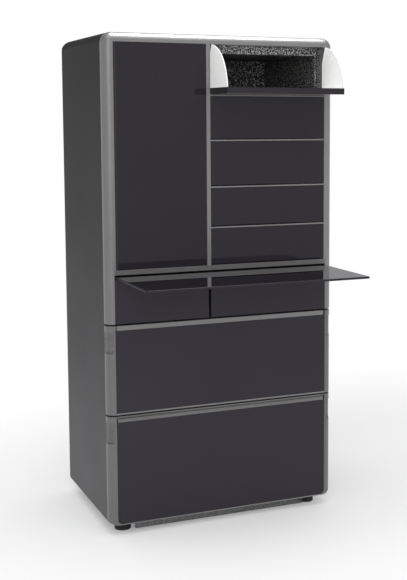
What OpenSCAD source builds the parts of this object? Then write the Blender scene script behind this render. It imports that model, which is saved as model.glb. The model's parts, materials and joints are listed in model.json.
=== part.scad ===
// Refrigerator with a hinged door, five drop flaps, a pull-out glass shelf,
// two small drawers, a vegetable drawer and a freezer drawer.
// X runs to the right seen from the front, Y to the back, Z up from the floor.

/* [Cabinet] */
// Width of the cabinet
body_w = 884; // [840:1:940]
// Height from the floor to the top
body_h = 1788; // [1770:1:1830]
// Depth from the glass fronts to the back
body_d = 580; // [575:1:640]
// Height of the cabinet's underside above the floor
base_h = 40; // [36:1:50]
// Radius of the upper corners, seen from the front
top_r = 36; // [20:1:45]
// Radius of the lower corners, seen from the front
base_r = 20; // [8:1:24]
// Radius of the upright front edges, seen from above
edge_r = 30; // [20:1:32]
// Radius of the brow, the upper front edge
brow_r = 16; // [8:1:20]
// Radius of the upper back edge
back_top_r = 35; // [10:1:45]
// Radius of the lower back edge
back_low_r = 22; // [8:1:24]
// Thickness of the steel shell
shell_t = 2; // [1:0.5:3]
// Thickness of the steel face plate behind the fronts
face_t = 2; // [1:0.5:3]
// Wall of the moulded liners
liner_t = 3; // [2:0.5:4]
// Foam between a liner and the back panel
back_foam = 43; // [35:1:60]

/* [Front frame] */
// Depth of the front frame and of the drawer posts
frame_d = 35; // [33:1:40]
// Height of the frame above the door
brow_h = 33; // [28:1:40]
// Width of the posts beside the door and the flaps
post_w = 36.6; // [34:0.1:42]
// Width of the posts beside the drawers
low_post_w = 30.5; // [30:0.1:34]
// Width of the mullion between the door and the flaps
mullion_w = 14.8; // [14:0.1:22]
// Height of the bar above the shelf slot
bar_h = 17.5; // [12:0.5:24]
// Width of the door opening
door_w = 341; // [310:1:360]

/* [Flaps] */
// Height of the top flap opening; the five share out the column's height
flap_1_h = 177.9; // [150:0.1:195]
// Height of the second flap opening from the top
flap_2_h = 155.7; // [140:0.1:165]
// Height of the third flap opening
flap_3_h = 162.2; // [140:0.1:170]
// Height of the fourth flap opening
flap_4_h = 141; // [130:1:160]
// Height of the lowest flap opening
flap_5_h = 134; // [125:1:150]
// Thickness of the dividers between the bins
divider_t = 5.4; // [4:0.1:8]
// Thickness of a flap
flap_t = 22; // [18:1:26]
// Radius of a flap's lower front edge about its pivot
flap_pivot_r = 6.5; // [6:0.5:8]
// Radius of a flap's pivot pins
flap_pin_r = 3; // [2:0.5:4]
// Length of a flap's pivot pins beyond its ends
flap_pin_l = 9; // [7:0.5:11]
// Thickness of a flap's cheeks and lining
cheek_t = 3; // [2:0.5:4]
// Angle that the top flap hangs open at rest
flap_1_open = 90; // [0:5:90]

/* [Door] */
// Thickness of the glass sheets on the fronts
glass_t = 4; // [3:0.5:5]
// Thickness of the door from the glass face to the gasket
door_t = 56; // [50:1:60]
// Radius of the door's hinge-side edge about its pivot
door_pivot_r = 8; // [7:0.5:10]
// Radius of the door's hinge pins
door_pin_r = 4; // [3:0.5:5]
// Depth of the pocket that the door and the flaps close into
pocket_d = 61; // [60:1:66]
// Width of the face around the door compartment
door_face_w = 22; // [20:1:28]
// Width of the face beside the flap column
column_face_w = 11; // [10:0.5:14]
// Height of the face above the flap column
column_face_h = 29; // [20:1:34]
// Number of racks on the door
rack_count = 3; // [2:1:5]
// Number of glass shelves behind the door
shelf_count = 4; // [3:1:5]

/* [Pull-out shelf] */
// Distance that the shelf stands out of the slot
counter_out = 357; // [330:1:366]
// Thickness of the shelf glass
counter_t = 8; // [6:0.5:9]
// Length of glass left in the slot
counter_tail = 152; // [140:1:160]
// Radius of the shelf's front corners
counter_r = 8; // [5:1:20]
// Height of the open slot above the glass
counter_head = 4.1; // [3:0.1:8]

/* [Small drawers] */
// Height of the small drawer fronts
small_h = 158.3; // [145:0.1:168]
// Width of the left small drawer front
small_left_w = 351.4; // [330:0.1:380]
// Gap between the small drawer fronts
small_gap = 9.3; // [6:0.1:12]
// Thickness of the small drawer fronts
small_t = 22; // [18:1:26]
// Height of the small drawer trays
small_tray_h = 113; // [90:1:120]
// Depth of the small drawer trays
small_tray_d = 470; // [400:1:480]

/* [Large drawers] */
// Height of the vegetable drawer front
vegetable_h = 320; // [300:1:330]
// Height of the freezer drawer front
freezer_h = 398; // [390:1:410]
// Gap between two drawer fronts
front_gap = 6.2; // [4:0.1:8]
// Thickness of the large drawer fronts
front_t = 33; // [30:1:33]
// Depth of the plug behind a large drawer front
plug_d = 15; // [10:1:20]
// Distance from the front's edge to the compartment it closes
front_lap = 25; // [22:1:30]
// Depth of the vegetable compartment from the glass face
vegetable_depth = 430; // [400:1:440]
// Depth of the lower part of the freezer compartment
freezer_depth = 372; // [350:1:380]
// Wall of the baskets
basket_t = 3; // [2:0.5:4]

/* [Finger recesses] */
// Height of a finger recess
recess_h = 76; // [60:1:90]
// Distance from the front's upper edge to the recess
recess_drop = 22; // [15:1:35]
// Depth of a finger recess
recess_d = 3; // [2:0.5:5]
// Depth of the pit at its lower end
pit_d = 9; // [6:0.5:12]
// Height of the pit
pit_h = 10; // [8:1:16]

/* [Cooling] */
// Height of the machine room's ceiling above the floor
machine_top = 250; // [246:1:252]
// Distance from the glass face to the machine room
machine_y = 400; // [395:1:405]
// Radius of the compressor
compressor_r = 75; // [65:1:80]
// Radius of the fan rotors
fan_r = 52; // [40:1:54]
// Radial gap round a fan rotor
fan_gap = 4; // [2:0.5:5]
// Height of the evaporator coil
evaporator_h = 160; // [140:1:165]
// Height of the plate that holds the evaporator fan
fan_plate_h = 160; // [125:1:165]
// Rise of the coil of the condenser from one pass to the next
condenser_pitch = 30; // [24:1:31]
// Radius of the fan shafts
shaft_r = 2; // [1.5:0.5:3]

/* [Feet] */
// Radius of the levelling feet
foot_r = 30; // [22:1:34]
// Height of the foot pad
foot_pad_h = 28; // [20:1:32]
// Distance of the feet from the cabinet's sides
foot_x = 71; // [62:1:100]
// Distance of the front feet from the glass face
foot_y = 82; // [70:1:100]

/* [Fits] */
// Gap at the sides of doors, flaps and drawer fronts
side_gap = 0.8; // [0.5:0.1:1.2]
// Gap above a flap
flap_top_gap = 1.3; // [1.2:0.1:1.6]
// Gap below a flap
flap_low_gap = 0.5; // [0.3:0.1:0.8]
// Radial clearance of the running pins and shafts
pin_play = 0.05; // [0.02:0.01:0.1]
// Clearance between sliding members
slide_play = 0.3; // [0.2:0.05:0.4]

/* [Hidden] */
$fn = 64;
eps = 1;

// Heights of the front, from the floor up
freezer_z0 = base_h + 1;
freezer_z1 = freezer_z0 + freezer_h;
vegetable_z0 = freezer_z1 + front_gap;
vegetable_z1 = vegetable_z0 + vegetable_h;
small_z0 = vegetable_z1 + front_gap;
small_z1 = small_z0 + small_h;
counter_z0 = small_z1 + 3.3;
slot_z1 = counter_z0 + counter_t + counter_head;
bay_z0 = slot_z1 + bar_h;
bay_z1 = body_h - brow_h;

// Widths of the front
half_w = body_w / 2;
bay_x = half_w - post_w;
low_x = half_w - low_post_w;
door_x0 = -bay_x;
door_x1 = door_x0 + door_w;
column_x0 = door_x1 + mullion_w;
column_x1 = bay_x;
small_x0 = -low_x + side_gap / 2;
small_x1 = small_x0 + small_left_w;
small_x2 = small_x1 + small_gap;
small_x3 = -small_x0;

// Flap column, counted from the top
function sum_to(v, n) = n == 0 ? 0 : v[n - 1] + sum_to(v, n - 1);
flap_shares = [flap_1_h, flap_2_h, flap_3_h, flap_4_h, flap_5_h];
flap_fit = (bay_z1 - bay_z0 - 4 * divider_t) / sum_to(flap_shares, 5);
flap_hs = flap_shares * flap_fit;
function row_z0(k) = bay_z1 - sum_to(flap_hs, k) - (k - 1) * divider_t;
function row_z1(k) = row_z0(k) + flap_hs[k - 1];
function flap_z0(k) = row_z0(k) + flap_low_gap;
function flap_z1(k) = row_z1(k) - flap_top_gap;
function pivot_z(k) = flap_z0(k) + flap_pivot_r;
function cheek_r(k) = row_z1(k) - pivot_z(k) - 1;
flap_x0 = column_x0 + side_gap;
flap_x1 = column_x1 - side_gap;
cheek_cut = 57;
cheek_rise = 18.5;
lining_rim = 6;

// Compartments: low corner and high corner of the free space
inner_back = body_d - shell_t - face_t - back_foam - liner_t;
door_cave = [[door_x0 + door_face_w + 1.4, bay_z0 + door_face_w],
             [door_x1 - door_face_w + 0.4, bay_z1 - door_face_w]];
column_cave = [[column_x0 + column_face_w, bay_z0 + 4],
               [column_x1 - column_face_w, bay_z1 - column_face_h]];
block_y = pocket_d + 120;
slot_w = side_gap + cheek_t + 0.7;
small_cave = [[-low_x, small_z0 + 4.6], [low_x, slot_z1]];
plate_y = body_d - shell_t - face_t;
tray_back = small_t + small_tray_d;
small_back = tray_back + (plate_y - tray_back) * 38 / 84;
large_x = low_x - 26.5;
vegetable_cave = [vegetable_z0 + front_lap, vegetable_z1 - front_lap];
freezer_cave = [freezer_z0 + front_lap + 4, freezer_z1 - front_lap];
step_z = machine_top + 12;

// Door
door_left = door_x0 + side_gap;
door_right = door_x1 - side_gap;
door_z0 = bay_z0 + side_gap;
door_z1 = bay_z1 - side_gap;
door_px = door_left + door_pivot_r;
door_py = door_pivot_r;
door_sweep = door_x1 - door_px - side_gap;
door_gasket_w = 12;
rack_y1 = 136;
rack_h = 90;
rack_x0 = door_cave[0][0] + 6;
rack_x1 = door_cave[1][0] - 26;
rack_t = 2.5;
shelf_t = 5;
shelf_y0 = rack_y1 + 14;
ledge = 8;
function shelf_z(i) = door_cave[0][1]
    + (door_cave[1][1] - door_cave[0][1]) * (i + 1) / (shelf_count + 1);
function rack_z(i) = door_cave[0][1] + 20
    + (door_cave[1][1] - door_cave[0][1] - 60) * i / rack_count;

// Pull-out shelf
counter_x = low_x - 1;
guide_x0 = low_x - 16.5;
guide_z0 = counter_z0 - 23.3;
guide_t = 2;
guide_y0 = frame_d + 5;
guide_y1 = small_back - 5;
rail_x0 = guide_x0 + 1;
rail_y0 = frame_d + 1;

// Small drawers
floor_z = small_cave[0][1];
rib_h = 6;
rib_w = 6;
tray_z0 = floor_z + rib_h;
tray_in = 7;
tray_t = 3;
side_rail_h = 18;

// Glass of the large drawers: low and high edge
vegetable_glass_z = [vegetable_z0 + 5.4, vegetable_z1 - 16.4];
freezer_glass_z = [freezer_z0 + 4, freezer_z1 - 20.8];

// Slides of the large drawers
slide_y0 = front_t + plug_d + 4;
slide_in = 14;
inner_t = 6;
inner_h = 24;
member_t = 2;
bar_x0 = large_x - slide_in;
bar_x1 = bar_x0 + inner_t;
mid_x1 = bar_x1 + slide_play + member_t;
mid_h = inner_h + 2 * (slide_play + member_t);
outer_x0 = mid_x1 + slide_play;
outer_h = mid_h + 2 * (slide_play + member_t);
basket_x = bar_x0 - 19;
ledge_w = 16;
vegetable_slide_z = (vegetable_cave[0] + vegetable_cave[1]) / 2 - 5;
freezer_slide_z = (freezer_cave[0] + freezer_cave[1]) / 2;
vegetable_slide_l = vegetable_depth - slide_y0 - 10;
freezer_slide_l = freezer_depth - slide_y0 - 5;
function rim_z(z) = z - inner_h / 2 + member_t;

// Cooling unit
machine_x = half_w - 22;
room_y = (machine_y + plate_y) / 2;
tray_top = base_h + shell_t + 3;
compressor_x = compressor_r - 15;
chamber_x = 300;
chamber_y0 = vegetable_depth + liner_t + 12;
chamber_y1 = plate_y - 31;
chamber_d = chamber_y1 - chamber_y0;
chamber_z1 = 640;
duct_x = 280;
duct_z0 = step_z + 8;
duct_z1 = freezer_cave[1] - 9;
evaporator_x = 230;
evaporator_y0 = chamber_y0 + 0.1 * chamber_d;
evaporator_y1 = chamber_y0 + 0.7 * chamber_d;
evaporator_z0 = duct_z0 + 20;
evaporator_z1 = evaporator_z0 + evaporator_h;
cover_t = 4;
boss_r = 6;
fan_plate_t = 4;
fan_depth = 16;
motor_r = 18;
motor_l = 18;
fan_frame = fan_r + fan_gap + 10;
evaporator_fan = [0, chamber_y0 + chamber_d / 2 - 5, chamber_z1 - fan_plate_h / 2];
condenser_fan = [-120, room_y, tray_top + fan_frame + 4];
condenser_x0 = -machine_x + 30;
condenser_x1 = condenser_fan[0] - 45;
stem_r = 6;
stem_top = base_h + 20;
foot_mid = half_w - foot_x;
back_foot_y = body_d - 50;

// The model stands with the middle of its outline on the origin
origin_y = (counter_out - body_d) / 2;

// Placement and colour of one piece
module piece(c) {
    color(c) translate([0, origin_y, 0]) children();
}

// Box from its low corner to its high corner
module span(a, b) {
    translate(a) cube(b - a);
}

module both_sides() {
    children();
    mirror([1, 0, 0]) children();
}

// Profile drawn in (Y, Z), drawn out along X
module along_x(x0, x1) {
    translate([x0, 0, 0]) rotate([90, 0, 90]) linear_extrude(x1 - x0) children();
}

// Profile drawn in (X, Z), drawn out along Y
module along_y(y0, y1) {
    translate([0, y1, 0]) rotate([90, 0, 0]) linear_extrude(y1 - y0) children();
}

// What a rounded corner takes off a square one
module corner_cut(at, dir, r) {
    translate(at) mirror([dir[0] < 0 ? 1 : 0, 0, 0]) mirror([0, dir[1] < 0 ? 1 : 0, 0])
        difference() {
            translate([-eps, -eps]) square(r + eps);
            translate([r, r]) circle(r);
        }
}

// Rectangle with its own radius at each corner: low left, low right, high right, high left
module rounded(a, b, r) {
    difference() {
        translate(a) square(b - a);
        if (r[0] > 0) corner_cut(a, [1, 1], r[0]);
        if (r[1] > 0) corner_cut([b[0], a[1]], [-1, 1], r[1]);
        if (r[2] > 0) corner_cut(b, [-1, -1], r[2]);
        if (r[3] > 0) corner_cut([a[0], b[1]], [1, -1], r[3]);
    }
}

// Rounded cabinet body between two depths, set in from the outside by a wall
module body(wall, y0, y1) {
    w = half_w - wall;
    intersection() {
        along_y(y0, y1)
            rounded([-w, base_h + wall], [w, body_h - wall],
                [base_r - wall, base_r - wall, top_r - wall, top_r - wall]);
        along_x(-w - eps, w + eps)
            rounded([wall, base_h + wall], [body_d - wall, body_h - wall],
                [0, back_low_r - wall, back_top_r - wall, brow_r - wall]);
        translate([0, 0, base_h])
            linear_extrude(body_h - base_h)
                rounded([-w, wall], [w, body_d - wall],
                    [edge_r - wall, edge_r - wall, 0, 0]);
    }
}

// Outer box of a liner round a free space given in (X, Z)
module cave_box(cave, grow, y0, y1) {
    span([cave[0][0] - grow, y0, cave[0][1] - grow], [cave[1][0] + grow, y1, cave[1][1] + grow]);
}

function large_cave(z) = [[-large_x, z[0]], [large_x, z[1]]];
door_bay = [[door_x0, bay_z0], [door_x1, bay_z1]];
column_bay = [[column_x0, bay_z0], [column_x1, bay_z1]];

// Cabinet shell and its fillings

module cabinet_shell() {
    piece("#3c3e40") difference() {
        body(0, frame_d, body_d);
        body(shell_t, frame_d - eps, body_d - shell_t);
        span([-machine_x + 20, body_d - shell_t - eps, machine_top + 12],
            [machine_x - 20, body_d + eps, body_h - 60]);
        span([-machine_x + 20, body_d - shell_t - eps, base_h + 30],
            [machine_x - 20, body_d + eps, machine_top - 2]);
        stem_bores(base_h - eps, base_h + shell_t + eps);
    }
}

module stem_bores(z0, z1) {
    for (y = [foot_y, back_foot_y])
        both_sides() translate([foot_mid, y, z0]) cylinder(r = stem_r, h = z1 - z0);
}

module back_panel() {
    piece("#55585a") intersection() {
        body(shell_t, plate_y, plate_y + face_t);
        span([-half_w, 0, machine_top], [half_w, body_d, body_h]);
    }
}

module face_plate() {
    piece("#303234") difference() {
        body(shell_t, frame_d, frame_d + face_t);
        liner_envelopes();
    }
}

module liner_envelopes() {
    cave_box(door_bay, liner_t, 0, pocket_d + liner_t);
    cave_box(door_cave, liner_t, pocket_d, inner_back + liner_t);
    cave_box(column_bay, liner_t, 0, block_y + liner_t);
    cave_box(column_cave, liner_t, pocket_d, inner_back + liner_t);
    cave_box(small_cave, liner_t, 0, small_back + liner_t);
    cave_box(large_cave(vegetable_cave), liner_t, 0, vegetable_depth + liner_t);
    cave_box(large_cave(freezer_cave), liner_t, 0, freezer_depth + liner_t);
    cave_box(large_cave([step_z, freezer_cave[1]]), liner_t, 0, vegetable_depth + liner_t);
}

module machine_room(grow = 0) {
    span([-machine_x, machine_y, base_h + shell_t - grow],
        [machine_x, plate_y + grow, machine_top]);
}

module insulation() {
    piece("#e4d9a8") difference() {
        body(shell_t, frame_d + face_t, plate_y);
        liner_envelopes();
        machine_room(eps);
        span([-chamber_x, chamber_y0, step_z], [chamber_x, chamber_y1, chamber_z1]);
        span([-duct_x, vegetable_depth, duct_z0], [duct_x, chamber_y0 + eps, duct_z1]);
        stem_bores(base_h, stem_top);
    }
}

module front_frame() {
    piece("#7c7d7f") difference() {
        intersection() {
            body(0, 0, frame_d);
            span([-half_w, 0, small_z0], [half_w, frame_d, body_h]);
        }
        cave_box(door_bay, 0, -eps, frame_d + eps);
        cave_box(column_bay, 0, -eps, frame_d + eps);
        span([-low_x, -eps, small_z0 - eps], [low_x, frame_d + eps, slot_z1]);
        for (k = [1:5])
            translate([flap_x0 - flap_pin_l - 0.5, flap_pivot_r, pivot_z(k)])
                rotate([0, 90, 0])
                    cylinder(r = flap_pin_r + pin_play, h = flap_x1 - flap_x0 + 2 * flap_pin_l + 1);
        translate([door_px, door_py, bay_z0 - 12]) cylinder(r = door_pin_r + 1, h = bay_z1 - bay_z0 + 24);
    }
}

// Compartment linings

module door_liner() {
    piece("#d9dbdc") {
        difference() {
            union() {
                cave_box(door_bay, liner_t, frame_d, pocket_d + liner_t);
                cave_box(door_cave, liner_t, pocket_d, inner_back + liner_t);
            }
            cave_box(door_bay, 0, 0, pocket_d);
            cave_box(door_cave, 0, pocket_d - eps, inner_back);
        }
        for (i = [0:shelf_count - 1])
            for (x = [door_cave[0][0], door_cave[1][0] - ledge])
                span([x, shelf_y0, shelf_z(i) - ledge], [x + ledge, inner_back, shelf_z(i)]);
    }
}

module column_liner() {
    piece("#9b9da0") difference() {
        union() {
            cave_box(column_bay, liner_t, frame_d, block_y + liner_t);
            cave_box(column_cave, liner_t, pocket_d, inner_back + liner_t);
        }
        cave_box(column_bay, 0, 0, pocket_d);
        cave_box(column_cave, 0, pocket_d - eps, inner_back);
        for (x = [column_x0, column_x1 - slot_w])
            span([x, pocket_d - eps, bay_z0], [x + slot_w, block_y, bay_z1 - 8]);
    }
}

module bin_dividers() {
    piece("#7c7d7f") for (k = [1:4]) {
        z = row_z0(k);
        span([column_x0, 0, z - divider_t], [column_x1, pocket_d, z]);
        span([column_cave[0][0], pocket_d - eps, z - divider_t],
            [column_cave[1][0], inner_back, z]);
    }
}

module small_drawer_liner() {
    piece("#c9cbcc") {
        difference() {
            cave_box(small_cave, liner_t, frame_d, small_back + liner_t);
            cave_box(small_cave, 0, 0, small_back);
        }
        for (x = [small_x0 + tray_in + 2, small_x1 - tray_in - rib_w - 2,
                small_x2 + tray_in + 2, small_x3 - tray_in - rib_w - 2])
            span([x, guide_y0, floor_z], [x + rib_w, guide_y1, tray_z0]);
        both_sides()
            span([small_x3 - tray_in + slide_play, guide_y0, floor_z],
                [low_x, guide_y1, tray_z0 + side_rail_h]);
        span([small_x1 - tray_in + slide_play, guide_y0, floor_z],
            [small_x2 + tray_in - slide_play, guide_y1, tray_z0 + side_rail_h]);
    }
}

module vegetable_liner() {
    piece("#d9dbdc") difference() {
        cave_box(large_cave(vegetable_cave), liner_t, frame_d, vegetable_depth + liner_t);
        cave_box(large_cave(vegetable_cave), 0, 0, vegetable_depth);
    }
}

module freezer_liner() {
    piece("#d9dbdc") difference() {
        union() {
            cave_box(large_cave(freezer_cave), liner_t, frame_d, freezer_depth + liner_t);
            cave_box(large_cave([step_z, freezer_cave[1]]), liner_t, frame_d,
                vegetable_depth + liner_t);
        }
        cave_box(large_cave(freezer_cave), 0, 0, freezer_depth);
        cave_box(large_cave([step_z, freezer_cave[1]]), 0, 0, vegetable_depth);
        span([-duct_x, vegetable_depth - eps, duct_z0],
            [duct_x, vegetable_depth + liner_t + eps, duct_z1]);
    }
}

module glass_shelves() {
    piece("#b9d3d6") for (i = [0:shelf_count - 1])
        span([door_cave[0][0], shelf_y0, shelf_z(i)],
            [door_cave[1][0], inner_back, shelf_z(i) + shelf_t]);
}

module light_strip() {
    light_w = 200;
    mid = (door_cave[0][0] + door_cave[1][0]) / 2;
    piece("#f7f4e6")
        span([mid - light_w / 2, shelf_y0, door_cave[1][1] - 6],
            [mid + light_w / 2, shelf_y0 + 24, door_cave[1][1]]);
}

module door_hinge_pins() {
    pin_in = 15;
    head = 10;
    piece("#8d8f92") {
        translate([door_px, door_py, door_z1 - pin_in])
            cylinder(r = door_pin_r, h = pin_in + side_gap + head);
        translate([door_px, door_py, bay_z1]) cylinder(r = door_pin_r + 1, h = 12);
        translate([door_px, door_py, bay_z0 - head])
            cylinder(r = door_pin_r, h = pin_in + side_gap + head);
        translate([door_px, door_py, bay_z0 - 12]) cylinder(r = door_pin_r + 1, h = 12);
    }
}

// Guides and slides fixed to the cabinet

module counter_guides() {
    piece("#9a9c9f") both_sides() {
        span([guide_x0, guide_y0, guide_z0], [low_x, guide_y1, guide_z0 + guide_t]);
        span([low_x - guide_t, guide_y0, guide_z0], [low_x, guide_y1, counter_z0 - 1]);
        span([guide_x0 + 9, guide_y0, counter_z0 - 3], [low_x, guide_y1, counter_z0 - 1]);
    }
}

// C-shaped member, open towards the middle, standing at a height with its web outside
module channel(x0, x_web, x1, h, t, z, y0, y1) {
    difference() {
        span([x0, y0, z - h / 2], [x1, y1, z + h / 2]);
        span([x0 - eps, y0 - eps, z - h / 2 + t], [x_web, y1 + eps, z + h / 2 - t]);
    }
}

module outer_slides() {
    piece("#9a9c9f") both_sides() {
        channel(bar_x0, outer_x0, large_x, outer_h, member_t, vegetable_slide_z,
            slide_y0, slide_y0 + vegetable_slide_l);
        channel(bar_x0, outer_x0, large_x, outer_h, member_t, freezer_slide_z,
            slide_y0, slide_y0 + freezer_slide_l);
    }
}

module middle_slides(z, length) {
    piece("#a9abae") both_sides()
        channel(bar_x0, bar_x1 + slide_play, mid_x1, mid_h, member_t, z,
            slide_y0 + 1, slide_y0 + length - 10);
}

// Base

module kick_plate() {
    kick_x = foot_mid - foot_r - 3;
    slat = 14;
    piece("#4a4b4d") difference() {
        span([-kick_x, frame_d + 4, 7], [kick_x, frame_d + 8, base_h]);
        for (x = [-kick_x + slat:slat:kick_x - slat])
            span([x - 3, frame_d + 3, 15], [x + 3, frame_d + 9, base_h - 8]);
    }
}

module feet() {
    neck_r = foot_r * 0.6;
    piece("#1d1e1f") for (y = [foot_y, back_foot_y]) both_sides()
        translate([foot_mid, y, 0]) {
            rotate_extrude() rounded([0, 0], [foot_r, foot_pad_h], [0, 1.5, 5, 0]);
            translate([0, 0, foot_pad_h]) cylinder(r = neck_r, h = base_h - foot_pad_h);
            translate([0, 0, base_h]) cylinder(r = stem_r, h = stem_top - base_h);
        }
}

// Machine room

module base_tray() {
    piece("#6d6f72") difference() {
        span([-machine_x, machine_y, base_h + shell_t], [machine_x, plate_y - 20, tray_top]);
        stem_bores(base_h, stem_top);
    }
}

module compressor() {
    grommet_h = 12;
    z0 = tray_top + grommet_h + 3;
    h = machine_top - z0 - 45;
    pipe_z = z0 + 100;
    plate = [compressor_r + 13, compressor_r - 13];
    piece("#202224") translate([compressor_x, room_y, 0]) {
        for (x = [-1, 1], y = [-1, 1])
            translate([x * (plate[0] - 13), y * (plate[1] - 12), tray_top])
                cylinder(r = 9, h = grommet_h);
        span([-plate[0], -plate[1], tray_top + grommet_h], [plate[0], plate[1], z0]);
        translate([0, 0, z0])
            rotate_extrude() rounded([0, 0], [compressor_r, h], [0, 10, 45, 0]);
        span([compressor_r - 12, -25, z0 + 35], [compressor_r + 22, 25, z0 + 95]);
        translate([35 - compressor_r, 30, pipe_z]) cylinder(r = 4, h = machine_top - pipe_z);
        translate([20, 40, pipe_z]) cylinder(r = 3, h = machine_top - pipe_z);
    }
}

module condenser() {
    tube_r = 4;
    pitch = condenser_pitch;
    rows = 6;
    ys = [room_y - 43, room_y + 17];
    fins = 10;
    x0 = condenser_x0;
    x1 = condenser_x1;
    fin_gap = (x1 - x0 - 20) / (fins - 1);
    y0 = ys[0] - 18;
    y1 = ys[1] + 18;
    piece("#b87a55") {
        for (x = [x0, x1 - 2]) span([x, y0, tray_top], [x + 2, y1, tray_top + rows * pitch + 6]);
        for (i = [0:fins - 1])
            span([x0 + 10 + i * fin_gap - 0.5, y0, tray_top + 6],
                [x0 + 10 + i * fin_gap + 0.5, y1, tray_top + rows * pitch]);
        for (y = ys, i = [0:rows - 1])
            translate([x0, y, tray_top + 18 + i * pitch]) rotate([0, 90, 0])
                cylinder(r = tube_r, h = x1 - x0);
        for (y = ys, i = [0:rows - 2])
            translate([i % 2 == 0 ? x1 : x0, y, tray_top + 18 + (i + 0.5) * pitch])
                rotate([90, 0, 0]) rotate([0, 0, i % 2 == 0 ? -90 : 90])
                    rotate_extrude(angle = 180) translate([pitch / 2, 0]) circle(tube_r);
    }
}

// Fan parts stand on the XY plane with the shaft along Z

module rotor_shape() {
    hub_r = 15;
    blades = 5;
    rotate_extrude() rounded([0, 0], [hub_r, fan_depth], [0, 0, 3, 0]);
    intersection() {
        for (i = [0:blades - 1])
            rotate([0, 0, i * 360 / blades]) translate([0, 0, fan_depth / 2])
                rotate([24, 0, 0]) span([0, -17, -0.8], [fan_r + 4, 17, 0.8]);
        cylinder(r = fan_r, h = fan_depth);
    }
    translate([0, 0, -motor_l + 4]) cylinder(r = shaft_r, h = motor_l);
}

module housing_shape(w0, w1, h0, h1) {
    bridge_z = -motor_l - 6;
    arm = 8;
    difference() {
        span([w0, h0, fan_depth / 2 - fan_plate_t / 2], [w1, h1, fan_depth / 2 + fan_plate_t / 2]);
        cylinder(r = fan_r + fan_gap, h = fan_depth);
    }
    span([-arm, -fan_r - fan_gap - arm, bridge_z], [arm, fan_r + fan_gap + arm, bridge_z + 4]);
    for (s = [-1, 1])
        translate([0, s * (fan_r + fan_gap + arm / 2), bridge_z])
            span([-arm, -arm / 2, 0], [arm, arm / 2, fan_depth / 2 - fan_plate_t / 2 - bridge_z]);
    difference() {
        translate([0, 0, bridge_z]) cylinder(r = motor_r, h = motor_l + 4);
        translate([0, 0, bridge_z + 4]) cylinder(r = shaft_r + pin_play, h = motor_l + eps);
    }
}

// The evaporator fan blows up the back, the condenser fan along the machine room
module at_evaporator_fan() {
    translate(evaporator_fan) rotate([90, 0, 0]) children();
}

module at_condenser_fan() {
    translate(condenser_fan) rotate([90, 0, -90]) children();
}

module evaporator_fan() {
    piece("#33363a") at_evaporator_fan() rotor_shape();
}

module condenser_fan() {
    piece("#33363a") at_condenser_fan() rotor_shape();
}

module evaporator_fan_housing() {
    piece("#c9cbcc") at_evaporator_fan()
        housing_shape(-chamber_x, chamber_x, -fan_plate_h / 2, fan_plate_h / 2);
}

module condenser_fan_housing() {
    piece("#2b2d30") at_condenser_fan()
        housing_shape(-fan_frame, fan_frame, tray_top - condenser_fan[2], fan_frame);
}

module compressor_cover() {
    slat = 26;
    gland = [300, plate_y, 110];
    piece("#3f4143") difference() {
        union() {
            intersection() {
                body(shell_t, plate_y, plate_y + face_t);
                span([-half_w, 0, base_h], [half_w, body_d, machine_top]);
            }
            translate(gland) rotate([90, 0, 0]) cylinder(r = 9, h = 14);
        }
        for (x = [-machine_x + 60:slat:machine_x - 180])
            span([x, plate_y - eps, base_h + 55], [x + 14, body_d, machine_top - 35]);
        translate(gland + [0, face_t + eps, 0]) rotate([90, 0, 0]) cylinder(r = 4, h = 20);
    }
}

module evaporator() {
    fins = 12;
    tube_r = 4;
    rows = 5;
    pitch = evaporator_h / rows;
    x = evaporator_x;
    ys = [evaporator_y0 + 0.15 * chamber_d, evaporator_y1 - 0.15 * chamber_d];
    fin_gap = (2 * x - 40) / (fins - 1);
    piece("#b9bdc0") {
        both_sides() {
            span([x - 2, evaporator_y0, evaporator_z0], [x, evaporator_y1, evaporator_z1]);
            span([x - 2, evaporator_y0, evaporator_z0], [x + 16, evaporator_y0 + 2, evaporator_z1]);
        }
        for (i = [0:fins - 1])
            span([-x + 20 + i * fin_gap - 0.5, evaporator_y0 + 3, evaporator_z0 + 4],
                [-x + 20 + i * fin_gap + 0.5, evaporator_y1, evaporator_z1 - 4]);
        for (y = ys, i = [0:rows - 1])
            translate([-x, y, evaporator_z0 + (i + 0.5) * pitch]) rotate([0, 90, 0])
                cylinder(r = tube_r, h = 2 * x);
        for (y = ys, i = [0:rows - 2])
            translate([i % 2 == 0 ? x : -x, y, evaporator_z0 + (i + 1) * pitch])
                rotate([90, 0, 0]) rotate([0, 0, i % 2 == 0 ? -90 : 90])
                    rotate_extrude(angle = 180) translate([pitch / 2, 0]) circle(tube_r);
    }
}

module evaporator_cover() {
    slat = 24;
    piece("#d2d4d5") {
        difference() {
            span([-duct_x - 10, vegetable_depth - cover_t, step_z + 3],
                [duct_x + 10, vegetable_depth, freezer_cave[1] - 4]);
            for (x = [-duct_x + 20:slat:duct_x - 30])
                span([x, vegetable_depth - cover_t - eps, duct_z0 + 30],
                    [x + 8, vegetable_depth + eps, duct_z1 - 20]);
        }
        both_sides() for (z = [evaporator_z0 + 10, duct_z1 - 10])
            translate([evaporator_x + 8, evaporator_y0, z]) rotate([90, 0, 0])
                cylinder(r = boss_r, h = evaporator_y0 - vegetable_depth + 1);
    }
}

// Door

module door_plan(y0, y1) {
    intersection() {
        translate([0, 0, door_z0]) linear_extrude(door_z1 - door_z0)
            rounded([door_left, 0], [door_right, door_t], [door_pivot_r, 0, 0, 0]);
        translate([door_px, door_py, door_z0])
            cylinder(r = door_sweep, h = door_z1 - door_z0, $fn = 128);
        span([door_left, y0, door_z0], [door_right, y1, door_z1]);
    }
}

module door_glass() {
    piece("#2f2d31") door_plan(0, glass_t);
}

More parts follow.
